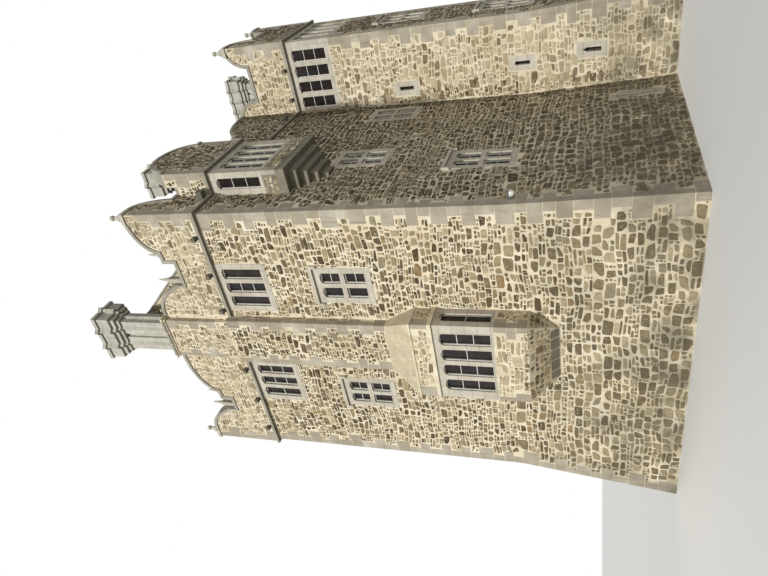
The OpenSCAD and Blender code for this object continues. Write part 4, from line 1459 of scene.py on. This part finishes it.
@dataclass
class WallLamp:
    """A small lantern on a wall: a back plate, a short arm, and a faceted white bowl under a hood."""

    name: str
    foot: Vector
    out: Vector
    metal: Material
    white: Material
    reach: float = 0.17
    bowl: float = 0.095
    rim: float = 0.012
    plate: Triple = (0.07, 0.02, 0.09)
    arm: Pair = (0.014, 0.012)
    arm_up: float = 0.05
    bevels: Pair = (0.006, 0.004)
    sides: int = 8
    weld: float = 0.0005

    def build(self) -> None:
        """Make the lamp."""
        middle = self.foot + self.out * self.reach
        wide, thick, tall = self.plate
        plate = Workshop.block((-wide, 0.0, -tall), (wide, thick, tall))
        Workshop.bevel(self.bevels[0], 2)
        self.place(plate, self.foot, "plate", self.metal)
        wide, tall = self.arm
        arm = Workshop.block((-wide, 0.0, -tall), (wide, self.reach, tall))
        Workshop.bevel(self.bevels[1], 2)
        self.place(arm, self.foot + UP * self.arm_up, "arm", self.metal)
        radius, rim = self.bowl, self.bowl + self.rim
        self.turned(((0.0, 0.085), (0.035, 0.08), (rim, 0.03), (rim, 0.018), (radius, 0.018),
                     (0.0, 0.03)), middle, "hood", self.metal)
        self.turned(((0.0, 0.026), (radius - 0.006, 0.016), (radius, -0.02), (radius * 0.7, -0.09),
                     (radius * 0.28, -0.115), (0.0, -0.12)), middle, "bowl", self.white)

    def place(self, made: Object, foot: Vector, part: str, material: Material) -> None:
        """Bring a part to the wall.

        Args:
            made: The part, modelled with Y out of the wall.
            foot: Where its origin goes.
            part: What it is.
            material: Its finish.
        """
        Workshop.clear()
        side = Vector((-self.out.y, self.out.x, 0.0))
        for vertex in made.data.vertices:
            x, y, z = vertex.co
            vertex.co = foot + side * x + self.out * y + UP * z
        Workshop.closed(made)
        made.name = made.data.name = f"{self.name}_{part}"
        ridden(made, Slot.TIMBER, material)

    def turned(self, profile: tuple[Pair, ...], foot: Vector, part: str, material: Material) -> None:
        """Make a faceted part by spinning a profile.

        Args:
            profile: Radii and heights from top to bottom, on the axis at both ends.
            foot: Where its origin goes.
            part: What it is.
            material: Its finish.
        """
        mesh = bpy.data.meshes.new(part)
        mesh.from_pydata([(r, 0.0, z) for r, z in profile],
                         [(i, i + 1) for i in range(len(profile) - 1)], [])
        made = bpy.data.objects.new(part, mesh)
        bpy.context.scene.collection.objects.link(made)
        Workshop.edit(made)
        bpy.ops.mesh.spin(steps=self.sides, angle=math.tau, center=(0.0, 0.0, 0.0), axis=(0.0, 0.0, 1.0))
        bpy.ops.mesh.select_all(action="SELECT")
        bpy.ops.mesh.remove_doubles(threshold=self.weld)
        self.place(made, foot, part, material)


@dataclass
class Keep:
    """The whole building: its faces, and the pieces laid on them."""

    finishes: dict[str, Material]
    plinth: float = 0.02
    cornice: float = 0.15
    panel: float = 0.92
    east_panel: float = 0.5
    corbel_band: Pair = (0.02, 0.27)
    corbel_head: float = 0.95
    head_foot: float = 0.11
    head_quoins: float = 0.06
    head_stones: float = 0.05
    gable_quoins: float = 1.45
    shaft_up: float = 1.3
    breast_in: float = 0.15
    sash_foot: float = 2.0
    lamp_at: Pair = (0.28, 4.55)
    survey: Survey = field(init=False)
    faces: dict[str, WallFace] = field(init=False)
    walls: set[str] = field(init=False)
    parapets: set[str] = field(init=False)
    head: float = field(init=False)
    deck: float = field(init=False)
    top: float = field(init=False)
    breast: tuple[Vector, Vector] = field(init=False)

    def __post_init__(self) -> None:
        """Measure the building: each wall where a line from outside meets it bare."""
        self.survey = Survey(frame["nodes"])
        self.walls, self.parapets = ({node for node in frame["nodes"] if node.endswith(end)}
                                     for end in ("_wall", "_parapet"))
        self.head, self.deck = (corner.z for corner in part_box("string_course"))
        self.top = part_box("front_parapet")[1].z
        self.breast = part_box("chimney_breast")
        low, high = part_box("turret_floors")
        middle = (low.x + high.x) / 2
        front, west, turret_y0 = (self.plane(*probe) for probe in (
            (0, 12.0, -3.0), (-1, 9.0, 0.9), (0, 10.5, middle)))
        rear, east, turret_x, turret_y1 = (-self.plane(*probe) for probe in (
            (2, 12.0, 0.2), (1, 9.0, 6.9), (1, 7.6, 2.0), (2, 10.5, -middle)))
        self.faces = {
            "front": WallFace((west, front), 0.0, east - west),
            "east": WallFace((east, front), QUARTER, rear - front),
            "rear": WallFace((east, rear), 2 * QUARTER, east - west),
            "west": WallFace((west, rear), 3 * QUARTER, rear - front),
            "turret_front": WallFace((east, turret_y0), 0.0, turret_x - east),
            "turret_east": WallFace((turret_x, turret_y0), QUARTER, turret_y1 - turret_y0),
            "turret_rear": WallFace((turret_x, turret_y1), 2 * QUARTER, turret_x - east),
        }
        self.add_breast("breast", (self.breast[0].z + self.head) / 2)
        self.add_breast("upper_breast", self.deck + self.shaft_up)
        self.add_front("front_oriel", *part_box("front_oriel_window"))
        self.add_east("east_oriel", *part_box("east_oriel_window"))
        self.add_east("gable", *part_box("east_oriel_gable"))
        self.add_inner()

    def plane(self, turns: int, z: float, s: float) -> float:
        """Measure how far behind the origin an outer wall stands, seen after so many quarter turns."""
        face = WallFace((0.0, 0.0), turns * QUARTER, 0.0)
        return (self.survey.onto(face, s, z, 30.0).point - face.at(s, z)).dot(face.inward)

    def add_breast(self, name: str, z: float) -> None:
        """Measure the chimney breast at one height and note its three outer faces.

        Args:
            name: Name for its faces.
            z: Height.
        """
        low, high = self.breast
        y = self.faces["front"].start[1] - self.breast_in
        x0 = self.survey.look(Vector((low.x - 1, y, z)), EAST).point.x
        x1 = self.survey.look(Vector((high.x + 1, y, z)), -EAST).point.x
        y0 = self.survey.look(Vector(((x0 + x1) / 2, low.y - 2, z)), NORTH).point.y
        self.add_front(name, Vector((x0, y0, 0.0)), Vector((x1, y0, 0.0)))

    def add_front(self, name: str, low: Vector, high: Vector) -> None:
        """Note the three outer faces of something on the front.

        Args:
            name: Name for its faces.
            low: Its lowest corner.
            high: Its highest corner.
        """
        outer, left, right = three(name)
        wall = self.faces["front"].start[1]
        self.faces[outer] = WallFace((low.x, low.y), 0.0, high.x - low.x)
        self.faces[left] = WallFace((low.x, wall), 3 * QUARTER, wall - low.y)
        self.faces[right] = WallFace((high.x, low.y), QUARTER, wall - low.y)

    def add_east(self, name: str, low: Vector, high: Vector) -> None:
        """Note the three outer faces of something on the east side.

        Args:
            name: Name for its faces.
            low: Its lowest corner.
            high: Its highest corner.
        """
        outer, left, right = three(name)
        wall = self.faces["east"].start[0]
        self.faces[outer] = WallFace((high.x, low.y), QUARTER, high.y - low.y)
        self.faces[left] = WallFace((wall, low.y), 0.0, high.x - wall)
        self.faces[right] = WallFace((high.x, high.y), 2 * QUARTER, high.x - wall)

    def add_inner(self) -> None:
        """Note the inner faces of the parapets, and the outer faces of the roof gables."""
        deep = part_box("front_parapet")[1].y - self.faces["front"].start[1]
        for name in OUTER:
            face = self.faces[name]
            corner = face.at(face.width, 0.0, deep)
            self.faces["inner_" + name] = WallFace((corner.x, corner.y), face.angle + math.pi, face.width)
        low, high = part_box("roof_gables")
        self.faces["roof_front"] = WallFace((low.x, low.y), 0.0, high.x - low.x)
        self.faces["roof_rear"] = WallFace((high.x, high.y), math.pi, high.x - low.x)

    def lay_quoins(self) -> None:
        """Lay the corner blocks, which the rubble then keeps clear of."""
        heap = Heap("quoins")
        quoins = Quoins(self.survey, heap)
        faces = self.faces
        pairs = (*zip(OUTER[:4], (*OUTER[1:4], OUTER[0])), OUTER[4:6], OUTER[5:7])
        for i, (left, right) in enumerate(pairs):
            head = self.band_foot(faces[left]) if left.startswith("turret") else self.head
            quoins.lay(Corner(faces[left], faces[right], 0.0, head, self.walls, 100 + i))
            quoins.lay(Corner(faces[left], faces[right], self.deck, self.top, self.parapets, 200 + i,
                              (0.5, 0.27)))
        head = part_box("front_oriel_head")
        sill, east_sill = (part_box(node)[0].z for node in ("front_oriel_window", "east_oriel_window"))
        parts = (("breast", self.breast[0].z, self.deck, "chimney_breast", (0.36, 0.19)),
                 ("upper_breast", self.deck, self.breast[1].z - self.cornice, "chimney_breast",
                  (0.34, 0.17)),
                 ("front_oriel", sill - self.panel, sill, "front_oriel_corbel", (0.36, 0.2)),
                 ("front_oriel", head[0].z + self.head_foot, head[1].z - self.head_quoins,
                  "front_oriel_head", (0.34, 0.18)),
                 ("east_oriel", east_sill - self.east_panel, east_sill, "east_oriel_corbel", (0.3, 0.18)),
                 ("gable", self.deck, self.deck + self.gable_quoins, "east_oriel_gable", (0.42, 0.24)))
        for i, (name, low, high, node, arms) in enumerate(parts):
            outer, on_left, on_right = three(name)
            for j, (left, right) in enumerate(((on_left, outer), (outer, on_right))):
                quoins.lay(Corner(faces[left], faces[right], low, high, {node}, 300 + 10 * i + j, arms))
        made = heap.piece(Slot.DRESSED, self.finishes["quoin"])
        self.survey = Survey({**frame["nodes"], "quoins": made})

    def band_foot(self, face: WallFace, step: float = 0.02) -> float:
        """Find the height where the turret's window band starts.

        Args:
            face: A face of the turret.
            step: Step of the search.

        Returns:
            The height.
        """
        z = self.head - 0.2
        while self.survey.onto(face, face.width - 0.1, z, 1.0, {"turret_windows"}):
            z -= step
        return z + step

    def lay_rubble(self) -> None:
        """Lay the walling stones, the blocks of the front oriel's corbel and the breast's cornice."""
        rubble = Rubble(self.survey)
        dark, plain, pale = (self.finishes[name] for name in ("rubble_dark", "rubble", "rubble_pale"))
        deck, top, oriel, east_oriel = self.deck, self.top, three("front_oriel"), three("east_oriel")
        foot, crown = self.breast[0].z, self.breast[1].z - self.cornice
        band_foot, band_top = self.corbel_band
        sill, east_sill, corbel = (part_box(node)[0].z for node in (
            "front_oriel_window", "east_oriel_window", "front_oriel_corbel"))
        head, gable, roof = (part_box(node) for node in (
            "front_oriel_head", "east_oriel_gable", "roof_gables"))
        # The dark finish goes on the faces in shade (east, the turret's sides, the breast's sides, the
        # gable): darker weathered stones and painted shade.
        sides = (("front", "", ("front",), plain, pale), ("east", "", ("east",), dark, dark),
                 ("rear", "", ("rear",), plain, pale), ("west", "", ("west",), plain, pale),
                 ("turret", "", ("turret_front",), pale, pale),
                 ("turret", "_side", ("turret_east", "turret_rear"), dark, dark))
        jobs = [(f"{name}{part}", faces, self.plinth, self.head, self.walls, finish, 1.0)
                for name, part, faces, finish, _ in sides]
        jobs += [(f"{name}_parapet{part}", faces, deck, top, self.parapets, finish, 0.6)
                 for name, part, faces, _, finish in sides]
        jobs += [
            ("breast", ("breast",), foot, deck, {"chimney_breast"}, plain, 0.3),
            ("breast_side", three("breast")[1:], foot, deck, {"chimney_breast"}, dark, 0.3),
            ("upper_breast", three("upper_breast"), deck, crown, {"chimney_breast"}, pale, 0.3),
            ("oriel_panel", oriel, sill - self.panel, sill, {"front_oriel_corbel"}, pale, 0.4),
            ("oriel_corbel", oriel, corbel + band_top, sill - self.corbel_head,
             {"front_oriel_corbel"}, plain, 0.4),
            ("oriel_head", oriel, head[0].z + self.head_foot, head[1].z - self.head_stones,
             {"front_oriel_head"}, pale, 0.4),
            ("east_panel", east_oriel, east_sill - self.east_panel, east_sill,
             {"east_oriel_corbel"}, pale, 0.4),
            ("gable", three("gable"), deck, gable[1].z, {"east_oriel_gable"}, dark, 0.4),
            ("roof_gable", ("roof_front", "roof_rear"), deck, roof[1].z, {"roof_gables"}, plain, 0.3),
            ("inner", tuple("inner_" + name for name in OUTER), deck, top, self.parapets, pale, 0.3),
        ]
        for i, (name, faces, low, high, nodes, finish, off) in enumerate(jobs):
            heap = Heap(name + "_stones")
            for j, face in enumerate(faces):
                rubble.cover(Patch(heap, self.faces[face], nodes, off, 500 + 10 * i + j), low, high)
            heap.piece(Slot.RUBBLE, finish)
        for name, faces, lows, rise, length, node, finish, off, seed in (
                ("oriel_corbel_blocks", oriel, (corbel + band_foot,), band_top - band_foot, 0.38,
                 "front_oriel_corbel", "corbel", 0.4, 71),
                ("breast_cornice_slabs", three("upper_breast"), (crown, crown + self.cornice / 2),
                 self.cornice / 2, 0.6, "chimney_breast", "coping", 0.3, 72)):
            heap = Heap(name)
            for face in faces:
                for low in lows:
                    rubble.blocks(Patch(heap, self.faces[face], {node}, off, seed), low, low + rise, length)
            heap.piece(Slot.DRESSED, self.finishes[finish])

    def hang_lamp(self) -> None:
        """Hang the small lantern beside the near corner."""
        face = self.faces["east"]
        foot = self.survey.onto(face, *self.lamp_at, 1.0).point
        WallLamp("corner_lamp", foot, -face.inward, self.finishes["lamp_metal"],
                 self.finishes["lamp_bowl"]).build()

    def fit_sashes(self) -> None:
        """Fit sashes in all the lights."""
        bars = {"front": (0, 1, 0, 1, 1, 1, 0, 1, 1, 2, 2, 0, 2, 0), "front_oriel": (2, 2, 1, 2),
                "front_oriel_left": (1,), "front_oriel_right": (1,)}
        heap = Heap("sashes")
        panes = {node for node in frame["nodes"] if node.endswith("_glass")}
        glazing = Glazing(self.survey, heap, panes)
        for name in (*OUTER, *three("front_oriel"), *three("east_oriel")):
            low, high = self.sash_foot, self.head
            if "oriel" in name:
                low, high = (corner.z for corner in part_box(f"{name.split('_')[0]}_oriel_window"))
            count = glazing.fill(self.faces[name], low, high, bars.get(name, ()))
            LOG.info("%s: %d sashes", name, count)
        heap.piece(Slot.TIMBER, self.finishes["paint"])


def dress_nodes(finishes: dict[str, Material]) -> None:
    """Give every node of the frame its finish.

    Args:
        finishes: The finishes by name.
    """
    for node, made in frame["nodes"].items():
        name = next(name for name, ends in NODE_FINISHES.items() if node.endswith(ends))
        made.data.materials.clear()
        made.data.materials.append(finishes[name])


def make_finishes() -> dict[str, Material]:
    """Make every finish.

    Returns:
        The finishes by name.
    """
    plain = ((0.0, (112, 96, 70)), (0.13, (148, 132, 99)), (0.26, (82, 68, 47)), (0.41, (164, 149, 116)),
             (0.52, (124, 109, 80)), (0.65, (184, 170, 137)), (0.73, (94, 81, 58)),
             (0.86, (146, 135, 110)), (0.93, (148, 122, 84)), (0.965, (176, 160, 128)))
    # Darker stones for the faces in shade: partly weathered stone, partly painted shade.
    dark = ((0.0, (84, 74, 57)), (0.2, (106, 95, 75)), (0.36, (64, 56, 43)), (0.5, (124, 112, 90)),
            (0.62, (92, 83, 65)), (0.8, (142, 130, 106)), (0.88, (74, 67, 53)))
    pale = ((0.0, (176, 161, 129)), (0.2, (196, 181, 149)), (0.36, (152, 137, 107)),
            (0.5, (206, 193, 163)), (0.64, (182, 168, 139)), (0.8, (162, 150, 123)), (0.88, (128, 113, 87)))
    chosen = {
        "mortar": MortarFinish("lime_mortar"),
        "rubble": RubbleFinish("rubble_limestone", plain),
        "rubble_dark": RubbleFinish("shaded_limestone", dark),
        "rubble_pale": RubbleFinish("pale_limestone", pale),
        "quoin": DressedFinish("quoin_stone", (198, 190, 172), (152, 142, 123), weather=0.75, spread=0.8),
        # Darker stone for the corbels: soot, and painted shade of their shaded place under the oriels.
        "corbel": DressedFinish("corbel_stone", (150, 143, 127), (114, 107, 92)),
        "window": DressedFinish("window_stone", (206, 199, 183), (180, 172, 154), course=0.37),
        "dressed": DressedFinish("dressed_limestone", (204, 197, 181), (176, 168, 150)),
        "string": DressedFinish("string_stone", (176, 170, 154), (142, 136, 120), run=0.62),
        "spout": DressedFinish("spout_stone", (132, 126, 110), (98, 93, 80)),
        "coping": DressedFinish("coping_stone", (178, 173, 158), (144, 139, 124), run=0.55),
        "stack": DressedFinish("stack_stone", (204, 201, 188), (172, 168, 153), course=0.3),
        "oriel_roof": DressedFinish("oriel_roof_stone", (220, 207, 177), (194, 179, 148)),
        "slate": SlateFinish("blue_grey_slate"),
        "flags": FlagFinish("worn_flags"),
        "boards": BoardFinish("old_floor_boards"),
        # The glass is opaque; its dark colour is painted shade of the unlit rooms behind it.
        "glass": PlainFinish("dark_glass", (50, 43, 40), (30, 27, 29), 0.1, 6.0, 0.001, 0.22),
        "lamp_metal": PlainFinish("lamp_metal", (120, 120, 116), (92, 92, 88), 0.45),
        "lamp_bowl": PlainFinish("lamp_bowl", (232, 231, 224), (214, 212, 202), 0.25),
        "paint": PlainFinish("white_paint", (236, 234, 226), (214, 210, 198), 0.5),
    }
    return {name: finish.build() for name, finish in chosen.items()}


@dataclass(frozen=True)
class Sun:
    """A far lamp: the direction towards it, its strength, and its angle in degrees."""

    name: str
    towards: Triple
    power: float
    angle: float

    def hang(self) -> None:
        """Add it to the scene."""
        data = bpy.data.lights.new(self.name, "SUN")
        data.energy = self.power
        data.angle = math.radians(self.angle)
        made = bpy.data.objects.new(self.name, data)
        made.rotation_euler = Vector(self.towards).to_track_quat("Z", "Y").to_euler()
        bpy.context.scene.collection.objects.link(made)


@dataclass
class Studio:
    """Floor, lamps, background and the camera at the photograph's angle."""

    suns: tuple[Sun, ...] = (Sun("sun", (0.10, -0.82, 0.40), 2.85, 4.0),
                             Sun("fill", (-0.75, 0.45, 0.5), 0.8, 30.0))
    around: tuple[float, ...] = (0.95, 0.97, 1.0, 1.0)
    around_power: float = 0.23
    behind: tuple[float, ...] = (1.0, 1.0, 1.0, 1.0)
    floor_colour: Colour = (238, 237, 233)
    floor_size: float = 400.0
    eye: Triple = (12.316, -21.645, 2.385)
    pitch: float = math.radians(18.876)
    roll: float = math.radians(0.700)
    yaw: float = math.radians(35.016)
    lens: float = 29.37
    sensor: float = 36.0
    sight: float = 500.0

    def floor(self) -> None:
        """Lay a plain pale floor."""
        Workshop.clear()
        bpy.ops.mesh.primitive_plane_add(size=self.floor_size, location=(0.0, 0.0, 0.0))
        made = bpy.context.object
        made.name = "floor"
        graph = Graph(bpy.data.materials.new("pale_floor"))
        made.data.materials.append(graph.finish(self.floor_colour, 0.95, None, 0.1))

    def world(self) -> None:
        """Light the object evenly, and show white behind it, also in gloss and through glass."""
        world = bpy.data.worlds.new("studio")
        graph = Graph(world)
        nodes = graph.tree.nodes
        back = nodes["Background"]
        graph.feed(back.inputs["Color"], self.around)
        graph.feed(back.inputs["Strength"], self.around_power)
        white = graph.add("Background", 0, {"Color": self.behind, "Strength": 1.0})
        seen = graph.add("LightPath", "Is Camera Ray", {})
        rays = seen.node.outputs
        for other in ("Is Glossy Ray", "Is Transmission Ray"):
            seen = graph.maths("MAXIMUM", seen, rays[other])
        shown = graph.add("MixShader", 0, {"Fac": seen, 1: back.outputs["Background"], 2: white})
        graph.feed(nodes["World Output"].inputs["Surface"], shown)
        bpy.context.scene.world = world

    def camera(self) -> None:
        """Set the camera, turned on its side as the photograph is."""
        ahead = Vector((-math.sin(self.yaw) * math.cos(self.pitch),
                        math.cos(self.yaw) * math.cos(self.pitch), math.sin(self.pitch)))
        level = Vector((math.cos(self.yaw), math.sin(self.yaw), 0.0))
        above = level.cross(ahead)
        right = level * math.cos(self.roll) + above * math.sin(self.roll)
        over = above * math.cos(self.roll) - level * math.sin(self.roll)
        data = bpy.data.cameras.new("camera")
        data.lens, data.sensor_width, data.clip_end = self.lens, self.sensor, self.sight
        made = bpy.data.objects.new("camera", data)
        turn = Matrix((-over, right, -ahead)).transposed()
        made.matrix_world = Matrix.Translation(self.eye) @ turn.to_4x4()
        bpy.context.scene.collection.objects.link(made)
        bpy.context.scene.camera = made

    def build(self) -> None:
        """Set the whole stage."""
        self.floor()
        for sun in self.suns:
            sun.hang()
        self.world()
        self.camera()
        bpy.context.scene.view_settings.view_transform = "Standard"


def main() -> None:
    """Build the pieces in order."""
    logging.basicConfig(level=logging.INFO, format="%(message)s")
    finishes = make_finishes()
    dress_nodes(finishes)
    keep = Keep(finishes)
    keep.lay_quoins()
    keep.lay_rubble()
    keep.fit_sashes()
    keep.hang_lamp()
    VergeCoping(keep.survey).build(finishes["coping"])
    SlateRoof().build(finishes["slate"])
    Studio().build()


if __name__ == "__main__":
    main()
